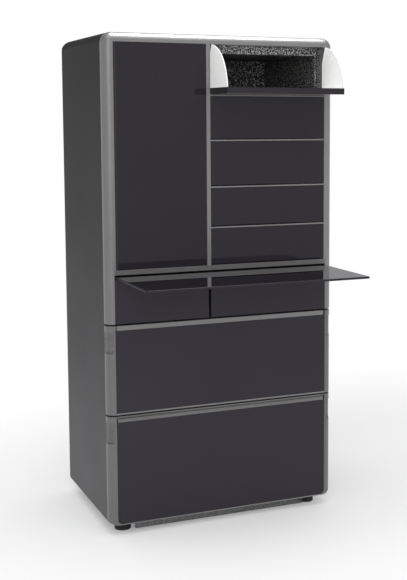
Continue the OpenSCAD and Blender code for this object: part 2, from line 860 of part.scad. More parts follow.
module door_panel() {
    piece("#2a2a2d") difference() {
        door_plan(glass_t, door_t);
        for (z = [door_z0 - eps, door_z1 - 15 - 1])
            translate([door_px, door_py, z]) cylinder(r = door_pin_r + pin_play, h = 15 + 1 + eps);
    }
}

module door_gasket() {
    x0 = door_px + 1;
    x1 = door_cave[1][0] + 2 + door_gasket_w;
    z0 = door_cave[0][1] - 4 - door_gasket_w;
    z1 = door_cave[1][1] + 4 + door_gasket_w;
    piece("#8b8d8f") difference() {
        span([x0, door_t, z0], [x1, pocket_d, z1]);
        span([x0 + door_gasket_w, door_t - eps, z0 + door_gasket_w],
            [x1 - door_gasket_w, pocket_d + eps, z1 - door_gasket_w]);
    }
}

module door_racks() {
    piece("#cfd4d6") for (i = [0:rack_count - 1]) translate([0, 0, rack_z(i)]) difference() {
        span([rack_x0, door_t, 0], [rack_x1, rack_y1, rack_h]);
        span([rack_x0 + rack_t, door_t + rack_t, rack_t],
            [rack_x1 - rack_t, rack_y1 - rack_t, rack_h + eps]);
    }
}

// Flaps

// Flaps are drawn shut and swung down about their pivots
module swung(k) {
    pivot = [0, flap_pivot_r, pivot_z(k)];
    translate(pivot) rotate([k == 1 ? flap_1_open : 0, 0, 0]) translate(-pivot) children();
}

module flap_front(k) {
    z0 = flap_z0(k);
    z1 = flap_z1(k);
    piece("#2f2d31") swung(k) {
        difference() {
            along_x(flap_x0, flap_x1) rounded([0, z0], [flap_t, z1], [flap_pivot_r, 0, 0, 0]);
            span([flap_x0 + cheek_t / 2, flap_t - cheek_t, z0 + lining_rim],
                [flap_x1 - cheek_t / 2, flap_t + eps, z1 - lining_rim]);
        }
        for (x = [flap_x0 - flap_pin_l, flap_x1 - eps])
            translate([x, flap_pivot_r, pivot_z(k)]) rotate([0, 90, 0])
                cylinder(r = flap_pin_r, h = flap_pin_l + eps);
    }
}

module cheek_outline(k) {
    r = cheek_r(k);
    z0 = flap_z0(k) + 0.2;
    y_back = flap_pivot_r + r;
    intersection() {
        translate([flap_pivot_r, pivot_z(k)]) circle(r, $fn = 128);
        polygon([
            [flap_t, z0],
            [y_back - cheek_cut, z0],
            [y_back + eps, pivot_z(k) + cheek_rise],
            [y_back + eps, pivot_z(k) + r + eps],
            [flap_t, pivot_z(k) + r + eps]
        ]);
    }
}

module flap_tray(k) {
    piece("#e9ebec") swung(k) {
        span([flap_x0 + cheek_t / 2, flap_t - cheek_t, flap_z0(k) + lining_rim],
            [flap_x1 - cheek_t / 2, flap_t, flap_z1(k) - lining_rim]);
        along_x(flap_x0, flap_x0 + cheek_t) cheek_outline(k);
        along_x(flap_x1 - cheek_t, flap_x1) cheek_outline(k);
    }
}

// Pull-out shelf

module counter_glass() {
    piece("#3a3a3e") translate([0, 0, counter_z0]) linear_extrude(counter_t)
        rounded([-counter_x, -counter_out], [counter_x, counter_tail],
            [counter_r, counter_r, 0, 0]);
}

module counter_carriage() {
    rail_x1 = low_x - guide_t - slide_play;
    piece("#8d8f92") both_sides() {
        span([rail_x0, rail_y0, guide_z0 + guide_t], [rail_x0 + 6, counter_tail, counter_z0]);
        span([rail_x0, rail_y0, guide_z0 + guide_t],
            [rail_x1, counter_tail, counter_z0 - 3 - slide_play]);
    }
}

// Small drawers

module small_front(x0, x1) {
    piece("#2f2d31") span([x0, 0, small_z0 + 0.4], [x1, small_t, small_z1 - 0.4]);
}

module small_tray(x0, x1) {
    a = [x0 + tray_in, small_t, tray_z0];
    b = [x1 - tray_in, small_t + small_tray_d, tray_z0 + small_tray_h];
    piece("#d9dbdc") difference() {
        span(a, b);
        span(a + [tray_t, tray_t, tray_t], b + [-tray_t, -tray_t, eps]);
    }
}

// Large drawers

// Finger recesses: a shallow one round each front corner, with a pit at its lower end
module finger_recess(z_top) {
    for (cut = [[recess_d, recess_h], [pit_d, pit_h]])
        difference() {
            both_sides()
                span([low_x + 6.5, -eps, z_top - recess_drop - recess_h],
                    [half_w + eps, edge_r, z_top - recess_drop - recess_h + cut[1]]);
            body(cut[0], 0, body_d);
        }
}

module drawer_front(z0, z1, cave) {
    difference() {
        intersection() {
            body(0, 0, front_t);
            span([-half_w, 0, z0], [half_w, front_t, z1]);
        }
        finger_recess(z1);
        children();
    }
    span([-large_x + 5, front_t - eps, cave[0] + 5],
        [large_x - 5, front_t + plug_d, cave[1] - 5]);
}

module vegetable_front() {
    piece("#7c7d7f") drawer_front(vegetable_z0, vegetable_z1, vegetable_cave) {
        span([-low_x, -eps, vegetable_glass_z[0]], [low_x, glass_t, vegetable_glass_z[1]]);
        both_sides()
            span([low_x - 9, -eps, vegetable_glass_z[1] - eps],
                [low_x, glass_t + 2, vegetable_z1 + eps]);
    }
}

module vegetable_glass() {
    piece("#2f2d31") span([-low_x, 0, vegetable_glass_z[0]], [low_x, glass_t, vegetable_glass_z[1]]);
}

module freezer_front() {
    lip = 2;
    strip_z = freezer_glass_z[1];
    groove_z = strip_z + 11;
    piece("#7c7d7f") drawer_front(freezer_z0, freezer_z1, freezer_cave) {
        freezer_pane(-eps);
        along_x(-low_x, low_x)
            polygon([
                [-eps, strip_z - eps],
                [0, strip_z],
                [glass_t, groove_z],
                [glass_t * 2, groove_z],
                [glass_t * 2, freezer_z1 - lip],
                [-eps, freezer_z1 - lip]
            ]);
    }
}

module freezer_pane(y0) {
    along_y(y0, glass_t)
        rounded([-low_x, freezer_glass_z[0]], [low_x, freezer_glass_z[1]], [15, 15, 0, 0]);
}

module freezer_glass() {
    piece("#2f2d31") freezer_pane(0);
}

module drawer_gasket(cave) {
    lap = 4;
    w = 12;
    piece("#8b8d8f") difference() {
        span([-large_x - lap - w, front_t, cave[0] - lap - w],
            [large_x + lap + w, frame_d, cave[1] + lap + w]);
        span([-large_x - lap, front_t - eps, cave[0] - lap],
            [large_x + lap, frame_d + eps, cave[1] + lap]);
    }
}

// Carrier: the inner slide bars with their ledges and the plates that screw to the front
module drawer_carrier(z, length) {
    y0 = front_t + plug_d;
    piece("#a9abae") both_sides() {
        span([bar_x0, y0, z - inner_h / 2], [bar_x1, slide_y0 + length - 15, z + inner_h / 2]);
        span([bar_x0 - ledge_w, y0, z - inner_h / 2],
            [bar_x0 + eps, slide_y0 + length - 15, z - inner_h / 2 + member_t]);
        span([basket_x - 12, y0, z - 30], [bar_x1, y0 + 3, z + 30]);
    }
}

module drawer_basket(z0, z1, rim_z, y1) {
    y0 = slide_y0;
    piece("#dfe3e5") {
        difference() {
            span([-basket_x, y0, z0], [basket_x, y1, z1]);
            span([-basket_x + basket_t, y0 + basket_t, z0 + basket_t],
                [basket_x - basket_t, y1 - basket_t, z1 + eps]);
        }
        both_sides() span([basket_x - eps, y0, rim_z], [bar_x0 - 0.5, y1, rim_z + basket_t]);
    }
}

module vegetable_basket() {
    drawer_basket(vegetable_cave[0] + 10, vegetable_cave[1] - 40,
        rim_z(vegetable_slide_z), vegetable_depth - 20);
}

module freezer_basket() {
    drawer_basket(freezer_cave[0] + 10, freezer_cave[1] - 25,
        rim_z(freezer_slide_z), freezer_depth - 12);
}

cabinet_shell();
back_panel();
face_plate();
insulation();
front_frame();
door_liner();
column_liner();
bin_dividers();
small_drawer_liner();
vegetable_liner();
freezer_liner();
glass_shelves();
light_strip();
door_hinge_pins();
counter_guides();
outer_slides();
kick_plate();
feet();
base_tray();
compressor();
condenser();
condenser_fan_housing();
compressor_cover();
evaporator();
evaporator_cover();
evaporator_fan_housing();
door_glass();
door_panel();
door_gasket();
door_racks();
flap_front(1);  // flap_1_front
flap_tray(1);  // flap_1_tray
flap_front(2);  // flap_2_front
flap_tray(2);  // flap_2_tray
flap_front(3);  // flap_3_front
flap_tray(3);  // flap_3_tray
flap_front(4);  // flap_4_front
flap_tray(4);  // flap_4_tray
flap_front(5);  // flap_5_front
flap_tray(5);  // flap_5_tray
counter_glass();
counter_carriage();
small_front(small_x0, small_x1);  // small_left_front
small_tray(small_x0, small_x1);  // small_left_tray
small_front(small_x2, small_x3);  // small_right_front
small_tray(small_x2, small_x3);  // small_right_tray
vegetable_front();
vegetable_glass();
drawer_gasket(vegetable_cave);  // vegetable_gasket
drawer_carrier(vegetable_slide_z, vegetable_slide_l);  // vegetable_carrier
vegetable_basket();
middle_slides(vegetable_slide_z, vegetable_slide_l);  // vegetable_middle_slides
freezer_front();
freezer_glass();
drawer_gasket(freezer_cave);  // freezer_gasket
drawer_carrier(freezer_slide_z, freezer_slide_l);  // freezer_carrier
freezer_basket();
middle_slides(freezer_slide_z, freezer_slide_l);  // freezer_middle_slides
evaporator_fan();
condenser_fan();
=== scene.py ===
import json
import math

import bmesh
import bpy
from mathutils import Matrix, Vector


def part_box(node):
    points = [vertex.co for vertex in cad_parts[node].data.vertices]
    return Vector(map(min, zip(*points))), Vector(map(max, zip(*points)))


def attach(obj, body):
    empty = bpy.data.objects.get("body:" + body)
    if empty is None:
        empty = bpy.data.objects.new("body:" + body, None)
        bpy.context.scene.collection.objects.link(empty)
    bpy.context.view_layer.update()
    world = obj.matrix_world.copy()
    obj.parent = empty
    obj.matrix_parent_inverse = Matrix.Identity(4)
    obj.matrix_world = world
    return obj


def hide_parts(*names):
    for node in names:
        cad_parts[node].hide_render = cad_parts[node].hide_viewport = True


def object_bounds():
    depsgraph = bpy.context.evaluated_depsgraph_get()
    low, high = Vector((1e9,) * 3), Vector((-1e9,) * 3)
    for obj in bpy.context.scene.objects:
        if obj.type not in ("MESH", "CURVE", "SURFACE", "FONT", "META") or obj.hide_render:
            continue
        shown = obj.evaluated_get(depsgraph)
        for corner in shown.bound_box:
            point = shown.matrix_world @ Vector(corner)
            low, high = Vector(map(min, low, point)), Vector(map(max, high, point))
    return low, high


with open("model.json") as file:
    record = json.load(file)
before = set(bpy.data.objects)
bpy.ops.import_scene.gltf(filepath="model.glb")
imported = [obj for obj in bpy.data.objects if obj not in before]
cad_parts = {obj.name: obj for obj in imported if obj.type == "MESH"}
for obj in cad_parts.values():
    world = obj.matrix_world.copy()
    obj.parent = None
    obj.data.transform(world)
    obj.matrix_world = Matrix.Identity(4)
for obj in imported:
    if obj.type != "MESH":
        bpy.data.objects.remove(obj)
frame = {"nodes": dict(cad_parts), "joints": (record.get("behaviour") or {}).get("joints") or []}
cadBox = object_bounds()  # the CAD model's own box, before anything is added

scene = bpy.context.scene
nodes = frame["nodes"]
mm = 0.001
hair = 0.3 * mm  # how far a face may lie off a plane and still count as on it
keen = 0.01 * mm  # the edge of a cutter, as good as sharp
sharpAngle = 32  # degrees: a fold above it stays a hard edge in the shading
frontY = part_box("door_glass")[0].y  # the plane of the glass fronts
left, right = cadBox[0].x, cadBox[1].x


# Small helpers

def toLinear(hexColour):  # an sRGB hex value as linear RGBA
    values = [int(hexColour[i:i + 2], 16) / 255 for i in (1, 3, 5)]
    return [v / 12.92 if v <= 0.04045 else ((v + 0.055) / 1.055) ** 2.4 for v in values] + [1.0]


def addNode(tree, kind, settings=None, links=None):  # one node with its settings and what feeds it
    node = tree.nodes.new(kind)
    for key, value in (settings or {}).items():
        if key == "stops":  # the places and hex colours of a colour ramp
            ramp = node.color_ramp
            while len(ramp.elements) < len(value):
                ramp.elements.new(0.5)
            for element, (place, colour) in zip(ramp.elements, value):
                element.position = place
                element.color = toLinear(colour)
        elif key in node.inputs.keys():
            node.inputs[key].default_value = value
        else:
            setattr(node, key, value)
    for key, source in (links or {}).items():
        tree.links.new(source, node.inputs[key])
    return node


def newMaterial(name):  # an empty material, its node tree and the object's own coordinates
    material = bpy.data.materials.new(name)
    material.use_nodes = True
    tree = material.node_tree
    tree.nodes.clear()
    return material, tree, addNode(tree, "ShaderNodeTexCoord").outputs["Object"]


def jointPlace(body):  # a point on the axis of the joint that moves a body
    return Vector(next(joint for joint in frame["joints"] if joint["child"] == body)["pos_m"])


# Meshes

axisOrder = {"X": (1, 2, 0), "Y": (0, 2, 1), "Z": (0, 1, 2)}


def put(axis, u, v, w):  # a point from two coordinates across an axis and one along it
    point = [0.0, 0.0, 0.0]
    for index, value in zip(axisOrder[axis], (u, v, w)):
        point[index] = value
    return Vector(point)


def roundedRing(low, high, radii, steps):  # corners: low left, low right, high right, high left
    corners = [(low[0], low[1], 1, 1, 180), (high[0], low[1], -1, 1, 270),
               (high[0], high[1], -1, -1, 0), (low[0], high[1], 1, -1, 90)]
    points = []
    for (x, y, signX, signY, start), radius in zip(corners, radii):
        radius = max(radius, 0.05 * mm)
        for i in range(steps + 1):
            turn = math.radians(start + 90 * i / steps)
            points.append((x + signX * radius + radius * math.cos(turn),
                           y + signY * radius + radius * math.sin(turn)))
    return points


def newPiece(name, bm, finish):
    bmesh.ops.recalc_face_normals(bm, faces=bm.faces)
    mesh = bpy.data.meshes.new(name)
    for face in bm.faces:
        face.smooth = True
    bm.to_mesh(mesh)
    bm.free()
    mesh.set_sharp_from_angle(angle=math.radians(sharpAngle))
    mesh.materials.append(finish)
    piece = bpy.data.objects.new(name, mesh)
    scene.collection.objects.link(piece)
    return piece


def skin(name, rings, finish, closed=False):  # rings of points joined one to the next
    bm = bmesh.new()
    loops = [[bm.verts.new(p) for p in ring] for ring in rings]
    pairs = list(zip(loops, loops[1:])) + ([(loops[-1], loops[0])] if closed else [])
    for a, b in pairs:
        for i in range(len(a)):
            j = (i + 1) % len(a)
            bm.faces.new((a[i], a[j], b[j], b[i]))
    if not closed:
        bm.faces.new(loops[0])
        bm.faces.new(loops[-1])
    return newPiece(name, bm, finish)


def stack(name, low, high, axis, profile, radii, finish, steps, closed=False):
    u, v, w = axisOrder[axis]  # profile: (inset, height) pairs along the axis
    rings = []
    for inset, height in profile:
        ring = roundedRing((low[u] + inset, low[v] + inset), (high[u] - inset, high[v] - inset),
                           [r - inset for r in radii], steps)
        rings.append([put(axis, a, b, low[w] + height) for a, b in ring])
    return skin(name, rings, finish, closed)


def softProfile(depth, edge, steps=3):  # a block's side with both its edges rounded
    turns = [math.radians(90 * i / steps) for i in range(steps + 1)]
    start = [(edge * (1 - math.sin(t)), edge * (1 - math.cos(t))) for t in turns]
    return start + [(inset, depth - height) for inset, height in reversed(start)]


def block(name, low, high, finish, axis, edge, corner, steps=3):
    radii = corner if isinstance(corner, (list, tuple)) else [corner] * 4
    depth = high[axisOrder[axis][2]] - low[axisOrder[axis][2]]
    return stack(name, low, high, axis, softProfile(depth, edge, steps), radii, finish, steps)


def cupProfile(depth, wall, edge, inner):  # an open box: outside, rounded rim, inside
    turns = [math.radians(90 * i / 3) for i in range(4)]
    profile = [(edge * (1 - math.sin(t)), edge * (1 - math.cos(t))) for t in turns]
    half = wall / 2
    profile += [(half - half * math.cos(2 * t), depth - half + half * math.sin(2 * t)) for t in turns]
    profile += [(wall + inner * (1 - math.cos(t)), wall + inner * (1 - math.sin(t))) for t in turns]
    return profile


def cup(name, low, high, wall, corner, finish, edge=2 * mm, inner=3 * mm):
    profile = cupProfile(high[2] - low[2], wall, edge, inner)
    return stack(name, low, high, "Z", profile, [corner] * 4, finish, 5)


def hoop(name, low, high, axis, width, finish, corner, edge):  # a frame with rounded edges
    depth = high[axisOrder[axis][2]] - low[axisOrder[axis][2]]
    side = softProfile(depth, edge)
    inside = [(width - inset, height) for inset, height in reversed(side)]
    return stack(name, low, high, axis, side + inside, [corner + width] * 4, finish, 6, True)


def prism(name, outline, axis, start, end, finish, edge):  # an outline drawn out along an axis
    bm = bmesh.new()
    ends = [[bm.verts.new(put(axis, u, v, w)) for u, v in outline] for w in (start, end)]
    for loop in ends:
        bm.faces.new(loop)
    for i in range(len(outline)):
        j = (i + 1) % len(outline)
        bm.faces.new((ends[0][i], ends[0][j], ends[1][j], ends[1][i]))
    bmesh.ops.recalc_face_normals(bm, faces=bm.faces)
    if edge:
        sharp = [e for e in bm.edges if e.calc_face_angle(0) > math.radians(40)]
        bmesh.ops.bevel(bm, geom=sharp, offset=edge, segments=2, affect="EDGES", clamp_overlap=True)
    return newPiece(name, bm, finish)


def lathe(name, profile, at, axis, finish, turns):  # (radius, height) pairs turned about an axis
    rings = []
    for radius, height in profile:
        ring = []
        for i in range(turns):
            t = 2 * math.pi * i / turns
            ring.append(Vector(at) + put(axis, radius * math.cos(t), radius * math.sin(t), height))
        rings.append(ring)
    return skin(name, rings, finish)


def rods(name, spans, finish):  # many small bars, each between two corners, as one mesh
    bm = bmesh.new()
    for low, high in spans:
        low, high = Vector(low), Vector(high)
        made = bmesh.ops.create_cube(bm, size=1.0)
        for vert in made["verts"]:
            vert.co = Vector([low[i] + (vert.co[i] + 0.5) * (high[i] - low[i]) for i in range(3)])
    bmesh.ops.bevel(bm, geom=list(bm.edges), offset=0.3 * mm, segments=1, affect="EDGES", clamp_overlap=True)
    return newPiece(name, bm, finish)


def evenly(start, end, count):  # places from start to end, in so many equal steps
    return [start + n * (end - start) / count for n in range(count + 1)]


def bake(piece):  # its modifiers turned into plain mesh
    bpy.context.view_layer.update()
    shown = piece.evaluated_get(bpy.context.evaluated_depsgraph_get())
    mesh = bpy.data.meshes.new_from_object(shown)
    piece.modifiers.clear()
    piece.data = mesh


def carve(piece, cutters):  # cuts that leave true edges
    for cutter in cutters:
        cut = piece.modifiers.new("cut", "BOOLEAN")
        cut.object = cutter
        cut.operation = "DIFFERENCE"
        cut.solver = "EXACT"
    bake(piece)
    for cutter in cutters:
        bpy.data.objects.remove(cutter)
    return piece


def soften(piece, width, angle=35):  # small rounded edges after the cuts
    bevel = piece.modifiers.new("edges", "BEVEL")
    bevel.width = width
    bevel.segments = 2
    bevel.limit_method = "ANGLE"
    bevel.angle_limit = math.radians(angle)
    bevel.use_clamp_overlap = True
    bevel.harden_normals = False
    bake(piece)
    for polygon in piece.data.polygons:
        polygon.use_smooth = True
    piece.data.set_sharp_from_angle(angle=math.radians(angle - 3))
    return piece


def together(name, parts):  # several meshes as one piece
    with bpy.context.temp_override(active_object=parts[0], selected_editable_objects=parts,
                                   selected_objects=parts):
        bpy.ops.object.join()
    parts[0].name = name
    return parts[0]


def evenNormals(piece):  # large faces stay flat and the shading turns only over the rounded edges
    weigh = piece.modifiers.new("normals", "WEIGHTED_NORMAL")
    weigh.mode = "FACE_AREA"
    weigh.weight = 100
    weigh.keep_sharp = True
    bake(piece)


def finished(piece, body, replaced):  # its body and the nodes it stands for
    evenNormals(piece)
    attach(piece, body)
    if replaced:
        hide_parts(*replaced)


def split(piece, planes):  # cuts across large faces, so that a part of them can take its own finish
    bm = bmesh.new()
    bm.from_mesh(piece.data)
    for place, normal in planes:
        bmesh.ops.bisect_plane(bm, geom=bm.verts[:] + bm.edges[:] + bm.faces[:],
                               plane_co=place, plane_no=normal, dist=1e-6)
    bm.to_mesh(piece.data)
    bm.free()


def recolour(piece, finish, zones):  # another finish for the faces whose centres lie in a zone
    piece.data.materials.append(finish)
    index = len(piece.data.materials) - 1
    for polygon in piece.data.polygons:
        for zone in zones:  # a zone is a test of the centre, or the low and high corner of a box
            held = zone(polygon.center) if callable(zone) else all(
                zone[0][i] <= polygon.center[i] <= zone[1][i] for i in range(3))
            if held:
                polygon.material_index = index


print("helpers ready")


# Finishes

def flakePaint(name, look):  # satin metallic paint: fine flakes over a slow drift of tone
    material, tree, place = newMaterial(name)
    flakes = addNode(tree, "ShaderNodeTexNoise",
                     {"Scale": 1000 / look["flakeMm"], "Detail": 2.0, "Roughness": 0.65}, {"Vector": place})
    drift = addNode(tree, "ShaderNodeTexNoise",
                    {"Scale": 1000 / look["driftMm"], "Detail": 1.0}, {"Vector": place})
    peel = addNode(tree, "ShaderNodeTexNoise",
                   {"Scale": 1000 / look["peelMm"], "Detail": 1.0}, {"Vector": place})
    tone = addNode(tree, "ShaderNodeValToRGB",
                   {"stops": [(0.3, look["dark"]), (0.52, look["base"]), (0.74, look["light"])]},
                   {"Fac": flakes.outputs["Fac"]})
    slow = addNode(tree, "ShaderNodeValToRGB", {"stops": [(0.25, look["driftLow"]), (0.75, "#ffffff")]},
                   {"Fac": drift.outputs["Fac"]})
    colour = tone.outputs["Color"]
    # painted light: the tone is shaded along one axis to stand in for how the light falls
    if "along" in look:  # the tone changes along one axis, in metres
        axis, start, end, blend = look["along"]
        axes = addNode(tree, "ShaderNodeSeparateXYZ", links={"Vector": place})
        share = addNode(tree, "ShaderNodeMapRange", {"From Min": start, "From Max": end},
                        {"Value": axes.outputs[axis]})
        shade = addNode(tree, "ShaderNodeValToRGB", {"stops": look["shades"]},
                        {"Fac": share.outputs["Result"]})
        shaded = addNode(tree, "ShaderNodeMix", {"data_type": "RGBA", "blend_type": blend, "Factor": 1.0},
                         {"A": colour, "B": shade.outputs["Color"]})
        colour = shaded.outputs["Result"]
    mixed = addNode(tree, "ShaderNodeMix", {"data_type": "RGBA", "blend_type": "MULTIPLY", "Factor": 1.0},
                    {"A": colour, "B": slow.outputs["Color"]})
    rough = addNode(tree, "ShaderNodeMapRange",
                    {"To Min": look["rough"] - 0.04, "To Max": look["rough"] + 0.05},
                    {"Value": flakes.outputs["Fac"]})
    bump = addNode(tree, "ShaderNodeBump", {"Strength": look["peel"], "Distance": 0.15 * mm},
                   {"Height": peel.outputs["Fac"]})
    shader = addNode(tree, "ShaderNodeBsdfPrincipled",
                     {"Metallic": look["metal"], "Coat Weight": look["coat"],
                      "Coat Roughness": look["coatRough"], "IOR": 1.5,
                      "Specular IOR Level": look.get("level", 0.5)},
                     {"Base Color": mixed.outputs["Result"], "Roughness": rough.outputs["Result"],
                      "Normal": bump.outputs["Normal"]})
    if "polishFrom" in look:  # buffed along the top edge, plainer below
        axes = addNode(tree, "ShaderNodeSeparateXYZ", links={"Vector": place})
        gloss = addNode(tree, "ShaderNodeMapRange",
                        {"From Min": look["polishFrom"], "From Max": look["polishTo"],
                         "To Min": look["coatLow"], "To Max": look["coat"]}, {"Value": axes.outputs["Z"]})
        tree.links.new(gloss.outputs["Result"], shader.inputs["Coat Weight"])
    addNode(tree, "ShaderNodeOutputMaterial", links={"Surface": shader.outputs["BSDF"]})
    return material


def plasticGrain(name, look):  # moulded plastic: spark-eroded grain, faint flow marks
    material, tree, place = newMaterial(name)
    grain = addNode(tree, "ShaderNodeTexVoronoi", {"Scale": 1000 / look["grainMm"], "feature": "F1"},
                    {"Vector": place})
    flow = addNode(tree, "ShaderNodeTexNoise",
                   {"Scale": 1000 / look["flowMm"], "Detail": 3.0, "Roughness": 0.55}, {"Vector": place})
    speck = addNode(tree, "ShaderNodeTexNoise",
                    {"Scale": 1000 / look["speckMm"], "Detail": 1.0, "Roughness": 0.8}, {"Vector": place})
    blend = addNode(tree, "ShaderNodeMix", {"data_type": "FLOAT", "Factor": look["speck"]},
                    {"A": flow.outputs["Fac"], "B": speck.outputs["Fac"]})
    tone = addNode(tree, "ShaderNodeValToRGB",
                   {"stops": [(0.32, look["dark"]), (0.5, look["base"]), (0.68, look["light"])]},
                   {"Fac": blend.outputs["Result"]})
    rough = addNode(tree, "ShaderNodeMapRange",
                    {"To Min": look["rough"] - 0.06, "To Max": look["rough"] + 0.06},
                    {"Value": grain.outputs["Distance"]})
    bump = addNode(tree, "ShaderNodeBump", {"Strength": look["bump"], "Distance": 0.1 * mm},
                   {"Height": grain.outputs["Distance"]})
    shader = addNode(tree, "ShaderNodeBsdfPrincipled",
                     {"IOR": look["ior"], "Transmission Weight": look.get("clear", 0.0)},
                     {"Base Color": tone.outputs["Color"], "Roughness": rough.outputs["Result"],
                      "Normal": bump.outputs["Normal"]})
    addNode(tree, "ShaderNodeOutputMaterial", links={"Surface": shader.outputs["BSDF"]})
    return material


def backPaintedGlass(name, look):  # float glass over paint: mirror-smooth, with faint rolling waves
    material, tree, place = newMaterial(name)
    cloud = addNode(tree, "ShaderNodeTexNoise", {"Scale": 1000 / look["cloudMm"], "Detail": 2.0},
                    {"Vector": place})
    dust = addNode(tree, "ShaderNodeTexNoise",
                   {"Scale": 1000 / look["dustMm"], "Detail": 2.0, "Roughness": 0.7}, {"Vector": place})
    tone = addNode(tree, "ShaderNodeValToRGB", {"stops": [(0.3, look["dark"]), (0.7, look["base"])]},
                   {"Fac": cloud.outputs["Fac"]})
    rough = addNode(tree, "ShaderNodeMapRange",
                    {"From Min": 0.35, "From Max": 0.75,
                     "To Min": look["rough"], "To Max": look["rough"] + 0.03},
                    {"Value": dust.outputs["Fac"]})
    wave = addNode(tree, "ShaderNodeTexNoise", {"Scale": 1000 / look["waveMm"], "Detail": 0.0},
                   {"Vector": place})
    bump = addNode(tree, "ShaderNodeBump", {"Strength": look["wave"], "Distance": 0.05 * mm},
                   {"Height": wave.outputs["Fac"]})
    shader = addNode(tree, "ShaderNodeBsdfPrincipled",
                     {"IOR": 1.5, "Specular IOR Level": look["level"], "Metallic": look.get("metal", 0.0),
                      "Coat Weight": look["coat"], "Coat Roughness": 0.01},
                     {"Base Color": tone.outputs["Color"], "Roughness": rough.outputs["Result"],
                      "Normal": bump.outputs["Normal"]})
    addNode(tree, "ShaderNodeOutputMaterial", links={"Surface": shader.outputs["BSDF"]})
    return material


def metalSheet(name, look):  # bare or plated metal: drawn lines or zinc flowers
    material, tree, place = newMaterial(name)
    stretch = addNode(tree, "ShaderNodeMapping", {"Scale": look["stretch"]}, {"Vector": place})
    lines = addNode(tree, "ShaderNodeTexNoise",
                    {"Scale": 1000 / look["lineMm"], "Detail": 3.0, "Roughness": 0.6},
                    {"Vector": stretch.outputs["Vector"]})
    flowers = addNode(tree, "ShaderNodeTexVoronoi", {"Scale": 1000 / look["flowerMm"], "feature": "F1"},
                      {"Vector": place})
    blend = addNode(tree, "ShaderNodeMix", {"data_type": "FLOAT", "Factor": look["flower"]},
                    {"A": lines.outputs["Fac"], "B": flowers.outputs["Distance"]})
    tone = addNode(tree, "ShaderNodeValToRGB",
                   {"stops": [(0.25, look["dark"]), (0.5, look["base"]), (0.75, look["light"])]},
                   {"Fac": blend.outputs["Result"]})
    rough = addNode(tree, "ShaderNodeMapRange",
                    {"To Min": look["rough"] - 0.08, "To Max": look["rough"] + 0.1},
                    {"Value": blend.outputs["Result"]})
    bump = addNode(tree, "ShaderNodeBump", {"Strength": look["bump"], "Distance": 0.08 * mm},
                   {"Height": lines.outputs["Fac"]})
    shader = addNode(tree, "ShaderNodeBsdfPrincipled", {"Metallic": 1.0},
                     {"Base Color": tone.outputs["Color"], "Roughness": rough.outputs["Result"],
                      "Normal": bump.outputs["Normal"]})
    addNode(tree, "ShaderNodeOutputMaterial", links={"Surface": shader.outputs["BSDF"]})
    return material


# Silver-grey metallic paint, its flakes drawn coarse enough to show
sprayLook = {
    "flakeMm": 1.6, "driftMm": 240, "peelMm": 3.0, "peel": 0.10, "metal": 0.30, "rough": 0.40,
    "coat": 0.45, "coatRough": 0.2}

# On the frame it is satin and buffed on the brow, with painted light making it a little lighter towards the
# right
framePaint = flakePaint("framePaint", {
    **sprayLook, "base": "#7f7f7f", "dark": "#757575", "light": "#8b8b8b", "driftLow": "#f4f4f4",
    "along": ("X", -0.45, 0.45, "MULTIPLY"),
    "shades": [(0.0, "#dcdcdc"), (0.08, "#e7e7e7"), (0.5, "#f6f6f6"), (1.0, "#ffffff")],
    "coat": 0.5, "coatRough": 0.34, "coatLow": 0.15, "polishFrom": 1.66, "polishTo": 1.76})

# On the ends of the drawer fronts it is a shade deeper
endPaint = flakePaint("endPaint", {
    **sprayLook, "base": "#656565", "dark": "#5c5c5c", "light": "#6f6f6f", "driftLow": "#f0f0f0",
    "driftMm": 160})

# In the finger recesses the spray is grainier, and darker as painted shade
recessShadePaint = flakePaint("recessShadePaint", {
    **sprayLook, "base": "#5f5f5f", "dark": "#515151", "light": "#6f6f6f", "driftLow": "#e8e8e8",
    "flakeMm": 5.0, "driftMm": 60, "peel": 0.15, "rough": 0.42})

# Under the openings it is a darker copy, with painted light making it a little lighter towards the right; in
# the grip groove it serves as painted shade
shadedBarPaint = flakePaint("shadedBarPaint", {
    **sprayLook, "base": "#676767", "dark": "#5d5d5d", "light": "#727272", "driftLow": "#f4f4f4",
    "along": ("X", -0.45, 0.45, "MULTIPLY"),
    "shades": [(0.0, "#e2e2e2"), (0.3, "#ececec"), (1.0, "#ffffff")],
    "metal": 0.20, "rough": 0.46, "coat": 0.05, "coatRough": 0.25})

# Dark enamel baked on the steel cabinet: an even satin with a little orange peel, and painted light
# from the floor that makes it lighter towards the bottom
sideEnamel = flakePaint("sideEnamel", {
    "base": "#272728", "dark": "#232324", "light": "#2b2b2c", "driftLow": "#ececec",
    "along": ("Z", 0.0, 1.8, "ADD"),
    "shades": [(0.08, "#575759"), (0.35, "#404042"), (0.62, "#202022"), (0.95, "#000000")],
    "flakeMm": 2.2, "driftMm": 300, "peelMm": 2.5, "peel": 0.12,
    "metal": 0.0, "rough": 0.50, "coat": 0.0, "coatRough": 0.3, "level": 0.05})

# Toughened glass painted on its back: near black with a plum cast, and mirror-smooth
frontLook = {
    "cloudMm": 350, "dustMm": 6, "waveMm": 90, "wave": 0.02, "rough": 0.02, "level": 0.22, "coat": 0.0}
darkGlass = backPaintedGlass("darkGlass", {**frontLook, "base": "#211e24", "dark": "#1f1c22"})

# The same glass on the drawers, lighter as a painted reflection of the floor in front
litDrawerGlass = backPaintedGlass("litDrawerGlass", {**frontLook, "base": "#2b2830", "dark": "#29262e"})

# And on the flaps, between the two
flapGlass = backPaintedGlass("flapGlass", {**frontLook, "base": "#242128", "dark": "#221f26"})

# Smoked glass of the pull-out shelf: at the photo's flat angle it mirrors as a pale metal would
shelfGlass = backPaintedGlass("shelfGlass", {
    "base": "#939197", "dark": "#8e8c92", "cloudMm": 200, "dustMm": 5, "waveMm": 120, "wave": 0.01,
    "rough": 0.015, "level": 0.5, "coat": 1.0, "metal": 0.97})

